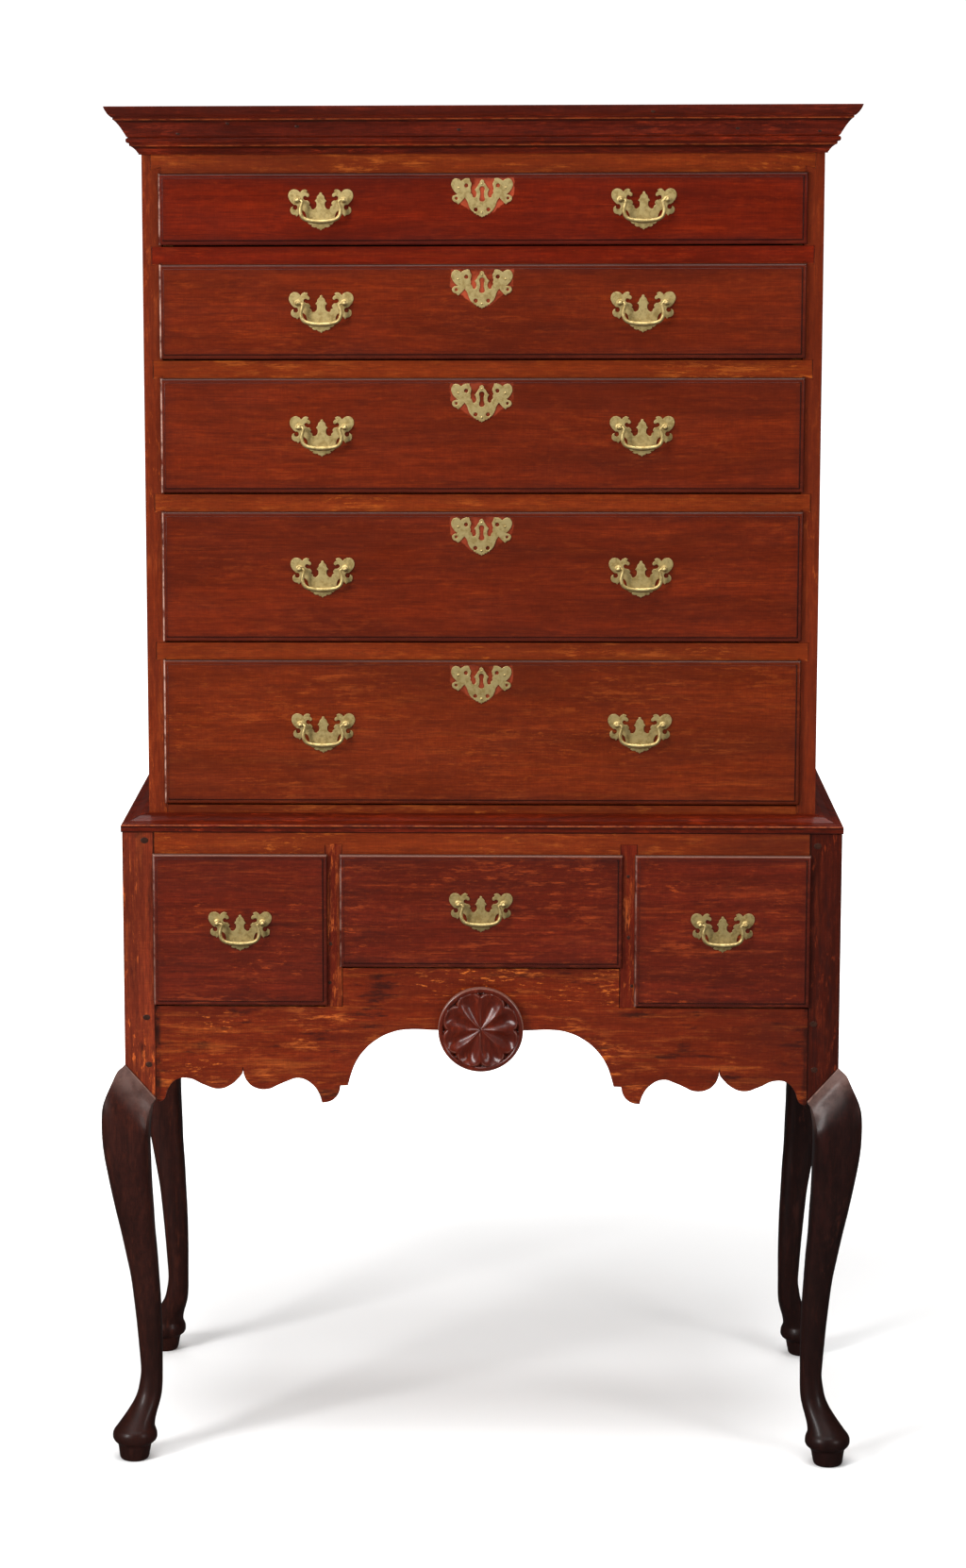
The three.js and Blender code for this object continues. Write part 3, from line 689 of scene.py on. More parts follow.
    @staticmethod
    def _arris() -> bpy.types.NodeTree:
        """Builds a broken band where a plane meets the piece, for wear, dirt, painted shade and painted
        sheen.

        Returns:
            The group's tree.
        """
        n, i, o = group_tree(
            "arris_wear",
            {"Vector": VECTOR, "Normal": VECTOR, "Level": NUMBER, "Width": NUMBER, "Ragged": NUMBER},
            {"Band": NUMBER})
        along = n.vector("DOT_PRODUCT", i["Vector"], i["Normal"], "Value")
        share = n.math("DIVIDE", n.math("ABSOLUTE", n.minus(along, i["Level"])), i["Width"])
        gaps = n.times(n.ramp(n.noise(i["Vector"], 70.0, 5.0, 0.7), 0.6, 0.34), i["Ragged"])
        n.feed(o["Band"], n.times(n.ramp(share, 1.0, 0.3), n.minus(1.0, gaps)))
        return n.tree

    @staticmethod
    def _patina() -> bpy.types.NodeTree:
        """Builds the surface of cast brass that has been handled, rubbed and left to dull.

        Returns:
            The group's tree.
        """
        n, i, o = group_tree("brass_patina", {"Vector": VECTOR, "Bright": COLOUR, "Dull": COLOUR},
                             {"Color": COLOUR, "Roughness": NUMBER, "Height": NUMBER})
        place = i["Vector"]
        specks = n.ramp(n.noise(place, 900.0, 3.0, 0.6), 0.6, 0.74)
        dull = n.ramp(n.noise(place, 160.0, 5.0, 0.62), 0.4, 0.66)
        dull = n.plus(dull, n.times(specks, 0.5), clamp=True)
        n.feed(o["Color"], n.mix(dull, i["Bright"], i["Dull"]))
        n.feed(o["Roughness"], n.plus(n.times(dull, 0.12), 0.56))
        n.feed(o["Height"], n.plus(n.noise(place, 340.0, 3.0, 0.5), n.times(specks, -0.6)))
        return n.tree


@dataclass(frozen=True)
class Arris:
    """A band where a plane meets the piece; by its tone it is wear, dirt, painted shade or a painted
    sheen.
    """

    normal: Triple
    level: float
    width: float = 1.6 * MM
    strength: float = 0.6
    tone: Colour = RUBBED
    ragged: float = 1.0


@dataclass(frozen=True)
class Marks:
    """What use has left on one board, with the light and shade painted on it: a darker border, bands
    along arrises, a paler patch under a brass.
    """

    border: tuple[Vector, Vector] | None = None
    border_width: float = 16 * MM
    arrises: tuple[Arris, ...] = ()
    patch: Vector | None = None
    # How strong the left lip's wear and painted highlight are.
    band: float = 0.85
    # The top lip's tone: dust, and on the lower drawers a painted highlight.
    top_lip_tone: Colour = DUSTY
    paleness: float = 0.8

    def patch_mask(self, n: Nodes, place: object) -> Socket:
        """Masks the paler wood that an older and larger shield has left behind an escutcheon.

        Args:
            n: The material's node builder.
            place: The object coordinates.

        Returns:
            The mask.
        """
        half_width, top, corner, point = 42 * MM, 25.5 * MM, 2 * MM, -24 * MM
        fall = 0.81  # of the shield's slanted lower sides
        across, _, up = n.parts(n.vector("SUBTRACT", place, self.patch))
        side = n.minus(half_width, n.math("ABSOLUTE", across))
        under = n.times(n.plus(n.minus(up, corner), n.times(side, fall)), 0.78)
        inside = n.least(n.least(side, n.minus(top, up)), n.least(under, n.minus(up, point)))
        ragged = n.minus(n.noise(place, 90.0, 4.0, 0.6), 0.5)
        edge = n.plus(inside, n.times(ragged, 7 * MM))
        faded = n.ramp(n.noise(place, 40.0, 3.0, 0.6), 0.34, 0.6)
        return n.times(n.ramp(edge, 0.0, 1.6 * MM), n.times(faded, self.paleness))

    def dress(self, n: Nodes, place: object, tone: object, grime: float) -> object:
        """Lays the marks over a finish.

        Args:
            n: The material's node builder.
            place: The object coordinates.
            tone: The finish's colour.
            grime: How dirty its border is.

        Returns:
            The colour with the marks.
        """
        if self.patch is not None:
            tone = n.mix(self.patch_mask(n, place), tone, FADED)
        if self.border is not None:
            low, high = self.border
            masks = n.group(Groups.border, Vector=place, Low=low, High=high, Width=self.border_width)
            # Grime round the border, the top lip's tone, the left lip's wear and painted highlight, and
            # dirt and painted shade in the quirk.
            for name, strength, colour in (("Grime", grime, GRIME), ("TopLip", 0.7, self.top_lip_tone),
                                           ("Band", self.band, LIP_WEAR_AND_HIGHLIGHT), ("Line", 0.8, QUIRK_DIRT_AND_SHADE)):
                tone = n.tint(tone, masks[name], strength, colour)
        for line in self.arrises:
            band = n.group(Groups.arris, Vector=place, Normal=line.normal, Level=line.level,
                          Width=line.width, Ragged=line.ragged)["Band"]
            tone = n.tint(tone, band, line.strength, line.tone)
        return tone


NO_MARKS = Marks()


def joint_lines(*places: float, normal: Triple = ALONG_X) -> tuple[Arris, ...]:
    """Gives the dirt in the joints of a board, at their places along a direction."""
    return tuple(Arris(normal, place, strength=0.8, tone=NEAR_BLACK, ragged=0.7) for place in places)


@dataclass(frozen=True)
class Wood:
    """A varnished or bare wood finish, its tones in red, green and blue from 0 to 255."""

    name: str
    slot: str
    base: tuple[int, int, int]
    dark: tuple[int, int, int]
    light: tuple[int, int, int]
    streaks: float = 0.5
    wear: float = 0.2
    smudges: float = 0.2
    varnish: float = 0.1
    shine: float = 0.12
    rough: float = 0.0
    bump: float = 0.25
    grime: float = 0.0
    # How strongly a carving's hollows take painted shade and its crests show wear.
    carved: float = 0.0

    def material(self, label: str, grain: Grain, seed: float, marks: Marks) -> bpy.types.Material:
        """Makes this finish for one board.

        Args:
            label: The board's name.
            grain: The way its grain runs.
            seed: Where in the figure it is cut.
            marks: What use has left on it.

        Returns:
            The material.
        """
        material, n, shader, place = new_material(f"{self.name}_{label}")
        turned = n.add("ShaderNodeMapping", {"Vector": place, "Rotation": grain.value, "Location": (
            seed * 1.7, seed * 0.9, seed * 1.3)}).outputs[0]
        figure = n.group(Groups.figure, Vector=turned, Base=linear(*self.base), Dark=linear(*self.dark),
                         Light=linear(*self.light), Streaks=self.streaks, Wear=self.wear,
                         Smudges=self.smudges)
        colour = marks.dress(n, place, figure["Color"], self.grime)
        if self.carved:
            # Painted shade in the hollows of the carving, and wear on its crests.
            point = n.add("ShaderNodeNewGeometry").outputs["Pointiness"]
            colour = n.tint(colour, n.ramp(point, 0.49, 0.44), 0.9 * self.carved, NEAR_BLACK)
            colour = n.tint(colour, n.ramp(point, 0.52, 0.57), 0.5 * self.carved, RUBBED)
        n.fill(shader, {
            "Base Color": colour, "Roughness": n.plus(figure["Gloss"], self.rough),
            "Coat Weight": self.varnish, "Coat Roughness": 0.14, "Specular IOR Level": self.shine,
            "Normal": n.bump(figure["Height"], self.bump, 0.4 * MM)})
        return material


@dataclass(frozen=True)
class Brass:
    """The finish of the cast brasses, which is also the name of their slot."""

    name: str
    bright: tuple[int, int, int]
    dull: tuple[int, int, int]

    def material(self) -> bpy.types.Material:
        """Makes the brass finish.

        Returns:
            The material.
        """
        material, n, shader, place = new_material(self.name)
        patina = n.group(Groups.patina, Vector=place, Bright=linear(*self.bright),
                         Dull=linear(*self.dull))
        n.fill(shader, {"Base Color": patina["Color"], "Roughness": patina["Roughness"],
                        "Metallic": 1.0, "Normal": n.bump(patina["Height"], 0.2, 0.04 * MM)})
        return material


FRONT_RED = Wood("front_cherry_red", "front_cherry", (104, 24, 3), (59, 9, 2), (137, 44, 7),
                 smudges=0.15, grime=0.45)
FRONT_MID = Wood("front_cherry_mid", "front_cherry", (104, 31, 6), (62, 16, 4), (146, 59, 14),
                 wear=0.18, grime=0.45)
FRONT_WARM = Wood("front_cherry_warm", "front_cherry", (107, 35, 6), (66, 18, 3), (160, 74, 20),
                  streaks=0.45, wear=0.3, grime=0.35)
FRONT_LOWER = Wood("front_cherry_low", "front_cherry", (98, 27, 9), (58, 15, 6), (172, 70, 22),
                   streaks=0.55, wear=0.45, smudges=0.5, grime=0.5)
RAIL = Wood("rail_cherry", "rail_cherry", (120, 43, 9), (81, 25, 5), (171, 86, 25),
            streaks=0.45, wear=0.5, smudges=0.25)
RAIL_RED = Wood("rail_cherry_red", "rail_cherry", (106, 23, 3), (70, 13, 2), (148, 48, 7),
                streaks=0.45, wear=0.3, smudges=0.25)
DIVIDER = Wood("divider_cherry", "rail_cherry", (104, 27, 7), (62, 13, 4), (172, 80, 28),
               wear=0.9, smudges=0.5)
SKIRT = Wood("skirt_cherry", "rail_cherry", (112, 34, 6), (66, 16, 4), (184, 92, 30),
             wear=1.0, smudges=1.0)
CASE = Wood("case_cherry", "case_cherry", (110, 37, 10), (72, 21, 6), (154, 69, 24),
            streaks=0.45, wear=0.5, smudges=0.25)
# Lit and shaded copies of the post and leg finishes: the right-hand ones are darker as painted shade
# away from the key light on the left, the left-hand ones lighter as painted light.
POST_LEFT_LIT = Wood("post_cherry_left_lit", "case_cherry", (126, 45, 19), (66, 20, 9), (178, 82, 30),
                 wear=1.0, smudges=0.8)
POST_RIGHT_SHADED = Wood("post_cherry_right_shaded", "case_cherry", (66, 17, 6), (37, 9, 4), (122, 42, 12),
                  wear=0.7, smudges=0.9)
LEG_LEFT_LIT = Wood("dark_cherry", "dark_cherry", (60, 23, 14), (22, 9, 7), (98, 42, 22),
                streaks=0.7, wear=0.4, smudges=0.9, varnish=0.06, shine=0.14, rough=0.06)
LEG_RIGHT_SHADED = Wood("darker_cherry_shaded", "dark_cherry", (38, 14, 10), (15, 7, 6), (74, 31, 18),
                 streaks=0.7, wear=0.4, smudges=0.9, varnish=0.06, shine=0.14, rough=0.06)
MOULDING = Wood("moulding_cherry", "moulding_cherry", (97, 24, 5), (42, 7, 2), (148, 44, 8),
                streaks=0.6, wear=0.5, smudges=0.6)
CARVING = Wood("carving_cherry", "moulding_cherry", (88, 23, 6), (50, 11, 4), (122, 40, 14),
               streaks=0.4, wear=0.3, smudges=0.4, varnish=0.2, shine=0.22, rough=-0.04, carved=1.0)
PEG = Wood("peg_cherry", "dark_cherry", (60, 34, 24), (34, 18, 13), (84, 50, 36))
PINE = Wood("pine", "pine", (176, 128, 78), (128, 86, 50), (206, 164, 108),
            streaks=0.6, smudges=0.3, varnish=0.0, rough=0.32, bump=0.5)
BRASS = Brass("brass", (205, 184, 128), (167, 145, 94))


@dataclass
class Dresser:
    """Gives finished pieces their material and body, and hides the solids that they stand for."""

    brass: bpy.types.Material | None = None
    count: int = 0
    seed_step: float = 0.731
    seed_span: float = 5.0

    def wood(self, piece: Piece, finish: Wood, grain: Grain, body: str, *solids: str,
             marks: Marks = NO_MARKS) -> None:
        """Dresses a wooden piece.

        Args:
            piece: The piece.
            finish: Its finish.
            grain: The way its grain runs.
            body: The body that carries it.
            solids: The solids that it stands for.
            marks: What use has left on it.
        """
        self.count += 1
        seed = self.count * self.seed_step % self.seed_span
        self._dress(piece, finish.material(piece.name, grain, seed, marks), finish.slot, body, solids)

    def metal(self, piece: Piece, body: str, *solids: str) -> None:
        """Dresses a brass piece.

        Args:
            piece: The piece.
            body: The body that carries it.
            solids: The solids that it stands for.
        """
        if self.brass is None:
            self.brass = BRASS.material()
        self._dress(piece, self.brass, BRASS.name, body, solids)

    @staticmethod
    def _dress(piece: Piece, material: bpy.types.Material, slot: str, body: str,
               solids: tuple[str, ...]) -> None:
        """Assigns the material and ties the piece to the frame.

        Args:
            piece: The piece.
            material: Its material.
            slot: Its slot in the record; not used.
            body: The body that carries it.
            solids: The solids that it stands for.
        """
        piece.data.materials.clear()
        piece.data.materials.append(material)
        for polygon in piece.data.polygons:
            polygon.material_index = 0
        if solids:
            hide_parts(*solids)
        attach(piece, body)
        LOG.info("%s: %d faces on %s", piece.name, len(piece.data.polygons), body)


def outline(table: list[tuple[float, ...]]) -> Outline:
    """Reads a table of points across and up in millimetres, in which a third value marks a corner."""
    return [(x * MM, z * MM, bool(corner)) for x, z, *corner in table]


def mirrored(right: Outline, shared: int = 1) -> Outline:
    """Closes a half outline by its mirror image.

    Args:
        right: The right half, from one end on or near the middle to the other.
        shared: How many points at each end lie on the middle and aren't mirrored.

    Returns:
        The whole outline.
    """
    own = right[shared:len(right) - shared]
    return right + [(-x, z, corner) for x, z, corner in reversed(own)]


def ring_hole(across: float, up: float, radius: float, points: int = 8) -> Outline:
    """Gives a round hole as an outline.

    Args:
        across: Its middle across.
        up: Its middle up.
        radius: Its radius.
        points: The number of its points.

    Returns:
        The outline.
    """
    turns = [math.tau * k / points for k in range(points)]
    return [(across + radius * math.cos(t), up + radius * math.sin(t), False) for t in turns]


def sawn(name: str, loops: list[Outline], thickness: float, ease: float, front: float) -> Piece:
    """Saws a flat piece that faces the front from its outline and holes.

    Args:
        name: The piece's name.
        loops: The outline and the holes.
        thickness: The piece's thickness.
        ease: The rounding of its edges.
        front: The depth at which its face lies.

    Returns:
        The closed piece, settled.
    """
    curve = bpy.data.curves.new(name, "CURVE")
    curve.dimensions = "2D"
    curve.fill_mode = "BOTH"
    curve.resolution_u = 5
    curve.extrude = thickness / 2 - ease
    curve.bevel_depth = ease
    curve.bevel_resolution = 1
    curve.offset = -ease
    for loop in loops:
        spline = Bench.from_curve(curve, [(across, up, 0) for across, up, _ in loop])
        spline.use_cyclic_u = True
        for point, (_, _, corner) in zip(spline.bezier_points, loop):
            if corner:
                point.handle_left_type = point.handle_right_type = "VECTOR"
    piece = Bench.to_mesh(curve)
    piece.rotation_euler = (math.pi / 2, 0, 0)
    piece.location = (0, front + thickness / 2, 0)
    Bench.settle(piece)
    Bench.face_out(piece)
    return piece


@dataclass
class Drawer:
    """One drawer: a lipped and thumb-moulded front, dovetailed to two sides, a back and a bottom."""

    label: str
    case_front: float
    finish: Wood
    has_escutcheon: bool
    tails: int
    lip_proud: float = 8 * MM
    front_thickness: float = 22 * MM
    bottom_reveal: float = 2 * MM
    thumb_width: float = 6 * MM
    thumb_depth: float = 4.6 * MM
    thumb_steps: int = 6
    fillet: float = 1 * MM
    field_edge: float = 0.5 * MM
    field_rise: float = 0.15 * MM
    inset_left: float = 5 * MM
    inset_right: float = 5 * MM
    inset_top: float = 2.9 * MM
    side_thickness: float = 12 * MM
    side_drop: float = 6 * MM
    back_thickness: float = 11 * MM
    bottom_thickness: float = 8 * MM
    bottom_rise: float = 5 * MM
    top_lip: float = 1.4 * MM
    tail_length: float = 13 * MM
    tail_proud: float = 0.12 * MM
    tail_neck: float = 0.3  # half of a tail's narrow end, as a share of the pitch
    tail_wide: float = 0.41  # half of its wide end
    paleness: float = 0.8

    @property
    def node(self) -> str:
        """The name of its solid and of its body."""
        return f"drawer_{self.label}"

    def build(self, dresser: Dresser) -> None:
        """Builds and dresses the drawer's boards.

        Args:
            dresser: What gives the boards their finish.
        """
        low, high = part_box(self.node)
        low.z += self.bottom_reveal - SEAT
        marks = Marks(border=(low, high), band=0.3, top_lip_tone=PALE_DUST_AND_HIGHLIGHT)
        if self.has_escutcheon:
            plate_low, plate_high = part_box(f"escutcheon_{self.label}")
            marks = Marks(border=(low, high), patch=(plate_low + plate_high) / 2,
                          paleness=self.paleness)
        dresser.wood(self._front(low, high), self.finish, Grain.ACROSS, self.node, self.node,
                     marks=marks)
        for piece, grain in self._boards(low, high):
            Bench.smooth(piece)
            dresser.wood(piece, PINE, grain, self.node)

    def _front(self, low: Vector, high: Vector) -> Piece:
        """Shapes the moulded front from a block.

        Args:
            low: The lowest corner of the front's outline.
            high: The highest corner of the drawer.

        Returns:
            The front.
        """
        face = self.case_front - self.lip_proud + self.fillet + self.thumb_depth
        piece = Bench.block(f"{self.node}_front", (low.x, face, low.z),
                            (high.x, self.case_front - SEAT, high.z))
        Bench.edit(piece)
        Bench.select_facing(piece, Facing.FRONT)
        sweep, turn = self.thumb_width - self.fillet, math.pi / 2 / self.thumb_steps
        for k in range(self.thumb_steps):
            bpy.ops.mesh.inset(
                thickness=sweep * (math.cos(k * turn) - math.cos((k + 1) * turn)),
                depth=self.thumb_depth * (math.sin((k + 1) * turn) - math.sin(k * turn)))
        bpy.ops.mesh.inset(thickness=self.fillet, depth=0)
        bpy.ops.mesh.extrude_region_move(TRANSFORM_OT_translate={"value": (0, -self.fillet, 0)})
        bpy.ops.mesh.inset(thickness=self.field_edge, depth=self.field_rise)
        bpy.ops.mesh.select_all(action="DESELECT")
        Bench.select_facing(piece, Facing.BACK)
        bpy.ops.mesh.inset(thickness=2 * MM, depth=0)
        inner = next(f for f in bmesh.from_edit_mesh(piece.data).faces if f.select)
        for vert in inner.verts:
            is_left = vert.co.x < (low.x + high.x) / 2
            is_low = vert.co.z < (low.z + high.z) / 2
            vert.co.x = low.x + self.inset_left if is_left else high.x - self.inset_right
            vert.co.z = low.z + self.fillet if is_low else high.z - self.inset_top
        depth = self.front_thickness - self.lip_proud + SEAT
        bpy.ops.mesh.extrude_region_move(TRANSFORM_OT_translate={"value": (0, depth, 0)})
        Bench.close(piece)
        Bench.ease(piece, 0.35 * MM, 2, 50.0)
        Bench.smooth(piece, 30.0)
        return piece

    def _boards(self, low: Vector, high: Vector) -> list[tuple[Piece, Grain]]:
        """Makes the sides, the back and the bottom.

        Args:
            low: The lowest corner of the front's outline.
            high: The highest corner of the drawer.

        Returns:
            Each board and the way its grain runs.
        """
        start = self.case_front - self.lip_proud + self.front_thickness
        floor = low.z - self.bottom_reveal + SEAT
        ceiling = high.z - self.top_lip - self.side_drop
        left, right = low.x + self.inset_left, high.x - self.inset_right
        boards = [(self._side(name, outer, sign, (start, high.y), (floor, ceiling)), Grain.DEEP)
                  for name, outer, sign in (("left", left, 1), ("right", right, -1))]
        left, right = left + self.side_thickness, right - self.side_thickness
        under = floor + self.bottom_rise
        over = under + self.bottom_thickness
        for name, near, foot, top, ease in (
                ("back", high.y - self.back_thickness, over, ceiling, 0.8 * MM),
                ("bottom", start, under, over, 0.4 * MM)):
            board = Bench.block(f"{self.node}_{name}", (left, near, foot), (right, high.y, top))
            Bench.ease(board, ease)
            boards.append((board, Grain.ACROSS))
        return boards

    def _side(self, name: str, outer: float, sign: int, depths: Point, heights: Point) -> Piece:
        """Saws a side board with half-blind dovetails that run into the front.

        Args:
            name: Left or right.
            outer: Where its outer face lies.
            sign: The way from that face to the drawer's inside.
            depths: Where the front's back lies and where the drawer ends.
            heights: The board's lower and upper edges.

        Returns:
            The board.
        """
        (start, back), (floor, ceiling) = depths, heights
        pitch, tip = (ceiling - floor) / self.tails, start - self.tail_length
        neck, wide = pitch * self.tail_neck, pitch * self.tail_wide
        shape = [(back, floor), (start, floor)]
        for k in range(self.tails):
            middle = floor + pitch * (k + 0.5)
            shape += [(start, middle - neck), (tip, middle - wide), (tip, middle + wide),
                      (start, middle + neck)]
        shape += [(start, ceiling), (back, ceiling)]
        piece = Bench.loft(f"{self.node}_side_{name}", [
            [Vector((outer + sign * inward, y, z)) for y, z in shape]
            for inward in (-self.tail_proud, self.side_thickness)])
        Bench.ease(piece, 0.25 * MM, 1, 60.0)
        return piece


@dataclass
class Brasses:
    """The pulls and escutcheons: pierced plates, bored posts, bails and brads."""

    plate_thickness: float = 1.3 * MM
    ease: float = 0.45 * MM
    standoff: float = 11.3 * MM
    boring: float = 60.6 * MM
    post_head: float = 3.7 * MM
    post_neck: float = 2.2 * MM
    post_base: float = 0.4 * MM  # how deep a post starts in the plate
    pin: float = 1.3 * MM
    bail_half: float = 26.2 * MM
    bail_drop: float = 27.6 * MM
    escutcheon_lobe: float = 13.47 * MM
    stud_sides: int = 20
    pull_outline: list[tuple[float, ...]] = field(default_factory=lambda: [
        (0, 10.2, 1), (1.5, 9.3), (1.8, 7.4, 1), (3.5, 6), (4.9, 4.2, 1), (5.2, 1.9, 1),
        (7.7, -1.3, 1), (5.9, -2.8), (5.3, -5.6), (5.8, -8.7), (7.6, -10.9), (10, -12),
        (12.3, -11.2, 1), (12.9, -8.7), (15.4, -6.8, 1), (14.1, -4.4), (15.2, -2.2), (16.8, -0.7, 1),
        (19.6, -0.4), (22.2, 0.8), (22.9, 3.2), (21.2, 5.2), (18.9, 4.9), (17.6, 3.8, 1),
        (15.4, 4.5, 1), (15.1, 6.8), (16.6, 8.9), (18.7, 10.2, 1), (17.4, 12.3, 1), (20.6, 13.8),
        (24, 12.8), (26.9, 9.9, 1), (29.8, 12.6), (34, 14), (38.6, 12.9), (41.6, 9.2), (42.3, 5),
        (41, 0.8), (38, -3.4), (34.8, -6.2, 1), (32, -6.4), (30.3, -8.8), (31.2, -11.8), (34, -12.6),
        (36, -10.8), (36.1, -8.2, 1), (38.5, -9.4), (39.8, -12.8), (38.8, -16.6), (35.4, -19),
        (33.2, -19.2, 1), (31.3, -21.4, 1), (28, -17.2), (24.6, -12.8, 1), (20.8, -15.4),
        (18.8, -20.4), (18.2, -25.4), (16.6, -29.6), (13.4, -31.9), (11, -31.7, 1), (12.1, -33.6, 1),
        (8.8, -35.4), (5.7, -35, 1), (4.5, -36.8, 1), (1.9, -37.4), (0, -39.2, 1)])
    escutcheon_outline: list[tuple[float, ...]] = field(default_factory=lambda: [
        (0, 10.6, 1), (2.4, 9), (2.9, 6.4, 1), (4.8, 4.2), (6.6, 1, 1), (9.6, -2.6, 1), (8.1, -4.4),
        (7.4, -7), (7.6, -10.2), (9.6, -12.6), (12.1, -12.2, 1), (12.8, -9.2), (14.9, -6.7, 1),
        (14.3, -4), (15.3, -1.4, 1), (14.2, 2, 1), (13.8, 5.2), (15.5, 8.8, 1), (16.4, 12.2, 1),
        (20.4, 12.4), (24, 11.2), (27.3, 8.8, 1), (30.4, 11.2), (35, 12), (38.8, 9), (40.1, 4.4),
        (39, -0.2), (35.6, -5.2), (31.6, -8.9, 1), (35.2, -9.2), (38.8, -12.2), (38, -16.6),
        (33.2, -19.3, 1), (31, -21.4, 1), (27.2, -18), (22.6, -12.8, 1), (19.4, -17.2), (17.6, -22.6),
        (15.6, -27), (12.9, -30.4, 1), (11.2, -31.4), (9.8, -33.4, 1), (8.2, -33.4), (6.8, -35.4, 1),
        (4.8, -35.2), (3.1, -37, 1), (1.6, -37), (0, -38.5, 1)])
    keyhole: list[tuple[float, ...]] = field(default_factory=lambda: [
        (0, 1.8), (-2.7, 0.7), (-3.4, -2), (-2.6, -5, 1), (-2.6, -10.4), (-3.9, -15, 1),
        (-2.6, -17.2), (0, -18)])
    piercings: list[Triple] = field(default_factory=lambda: [  # across, up, radius
        (20.6, 2.9, 2.6), (33.6, -13.6, 1.9), (8.2, -28.2, 2.6)])
    brads: list[Point] = field(default_factory=lambda: [(30.8, 0), (-30.8, 0), (0, 5.4), (0, -32)])
    brad_head: list[Point] = field(default_factory=lambda: [  # radius, height
        (0.1, 0.6), (1.5, 0.6), (1.5, 1.5), (1.1, 1.95), (0.5, 2.15), (0.05, 2.2)])
    bail_route: list[Triple] = field(default_factory=lambda: [
        # shares of the half width and of the drop, then the rod's radius in millimetres
        (0.95, 0.02, 1.8), (0.915, 0.07, 2.1), (0.925, 0.16, 2.0), (0.97, 0.3, 2.2), (1, 0.46, 2.4),
        (0.985, 0.62, 2.5), (0.9, 0.79, 2.5), (0.74, 0.9, 2.5), (0.52, 0.955, 2.6),
        (0.26, 0.985, 2.9), (0, 1, 3.0)])

    def build(self, dresser: Dresser) -> None:
        """Makes each pattern once, and copies it to every place that the frame gives.

        Args:
            dresser: What gives the brasses their finish.
        """
        plate, handle, shield = self._pull_plate(), self._bail(), self._escutcheon()
        for joint in FRAME["joints"]:
            if joint["type"] != "hinge":
                continue
            label = joint["child"].removeprefix("bail_")
            pin = Vector(joint["pos_m"])
            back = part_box(f"pull_plate_{label}")[1].y
            twin = Bench.copy(plate, f"pull_{label}_plate", Vector((pin.x, back, pin.z)))
            dresser.metal(twin, joint["parent"], f"pull_plate_{label}")
            twin = Bench.copy(handle, f"pull_{label}_bail", pin)
            dresser.metal(twin, joint["child"], f"bail_{label}")
        for node in sorted(FRAME["nodes"]):
            if node.startswith("escutcheon_"):
                low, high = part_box(node)
                label = node.removeprefix("escutcheon_")
                place = Vector((0, high.y, high.z - self.escutcheon_lobe))
                twin = Bench.copy(shield, f"keyhole_plate_{label}", place)
                dresser.metal(twin, f"drawer_{label}", node)
        Bench.discard(plate, handle, shield)

    def _plate(self, name: str, loops: list[Outline]) -> Piece:
        """Saws a plate whose back lies at depth 0."""
        return sawn(name, loops, self.plate_thickness, self.ease, -self.plate_thickness)

    def _pull_plate(self) -> Piece:
        """Makes the batwing plate with its two bored posts, with its pin line at the origin.

        Returns:
            The pattern piece.
        """
        plate = self._plate("pull_pattern", [mirrored(outline(self.pull_outline))])
        head, neck, out, base = self.post_head, self.post_neck, self.standoff, self.post_base
        stations = [(0.1 * MM, base), (neck * 2, base), (neck * 2, 1.9 * MM), (neck * 1.2, 2.6 * MM),
                    (neck, 3.4 * MM), (neck, out - head), (head * 0.86, out - head * 0.66),
                    (head, out), (head * 0.86, out + head * 0.5), (head * 0.5, out + head * 0.82),
                    (0.1 * MM, out + head * 0.95)]
        for place in (-self.boring / 2, self.boring / 2):
            post = Bench.turn("post", Vector((place, 0, 0)), stations, self.stud_sides)
            bpy.ops.mesh.primitive_cylinder_add(vertices=16, radius=self.pin * 1.25, depth=head * 3,
                                                location=(place, -out, 0),
                                                rotation=(0, math.pi / 2, 0))
            Bench.carve(post, bpy.context.object)
            Bench.join(plate, post)
        Bench.smooth(plate, 40.0)
        return plate

    def _bail(self) -> Piece:
        """Makes the bail, hanging from its pins at the origin.

        Returns:
            The pattern piece.
        """
        half, drop = self.bail_half, self.bail_drop
        route = [(self.boring / 2 + 1.8 * MM, 0, self.pin), (half * 1.02, 0, self.pin)]
        route += [(half * x, -drop * z, radius * MM) for x, z, radius in self.bail_route]
        route += [(-x, z, radius) for x, z, radius in reversed(route[:-1])]
        curve = bpy.data.curves.new("bail_pattern", "CURVE")
        curve.dimensions = "3D"
        curve.bevel_depth = 1.0
        curve.bevel_resolution = 4
        curve.resolution_u = 5
        curve.use_fill_caps = True
        spline = Bench.from_curve(curve, [(x, 0, z) for x, z, _ in route])
        for point, (_, _, radius) in zip(spline.bezier_points, route):
            point.radius = radius
        piece = Bench.to_mesh(curve)
        Bench.face_out(piece)
        Bench.smooth(piece, 50.0, flats=False)
        return piece

    def _escutcheon(self) -> Piece:
        """Makes the keyhole escutcheon with its four brads, with its nail line at the origin.

        Returns:
            The pattern piece.
        """
        loops = [mirrored(outline(self.escutcheon_outline))]
        for x, z, radius in self.piercings:
            loops += [ring_hole(side * x * MM, z * MM, radius * MM) for side in (1, -1)]
        loops.append(mirrored(outline(self.keyhole)))
        plate = self._plate("escutcheon_pattern", loops)
        head = [(radius * MM, height * MM) for radius, height in self.brad_head]
        for x, z in self.brads:
            Bench.join(plate, Bench.turn("brad", Vector((x * MM, 0, z * MM)), head, self.stud_sides))
        Bench.smooth(plate, 40.0)
        return plate


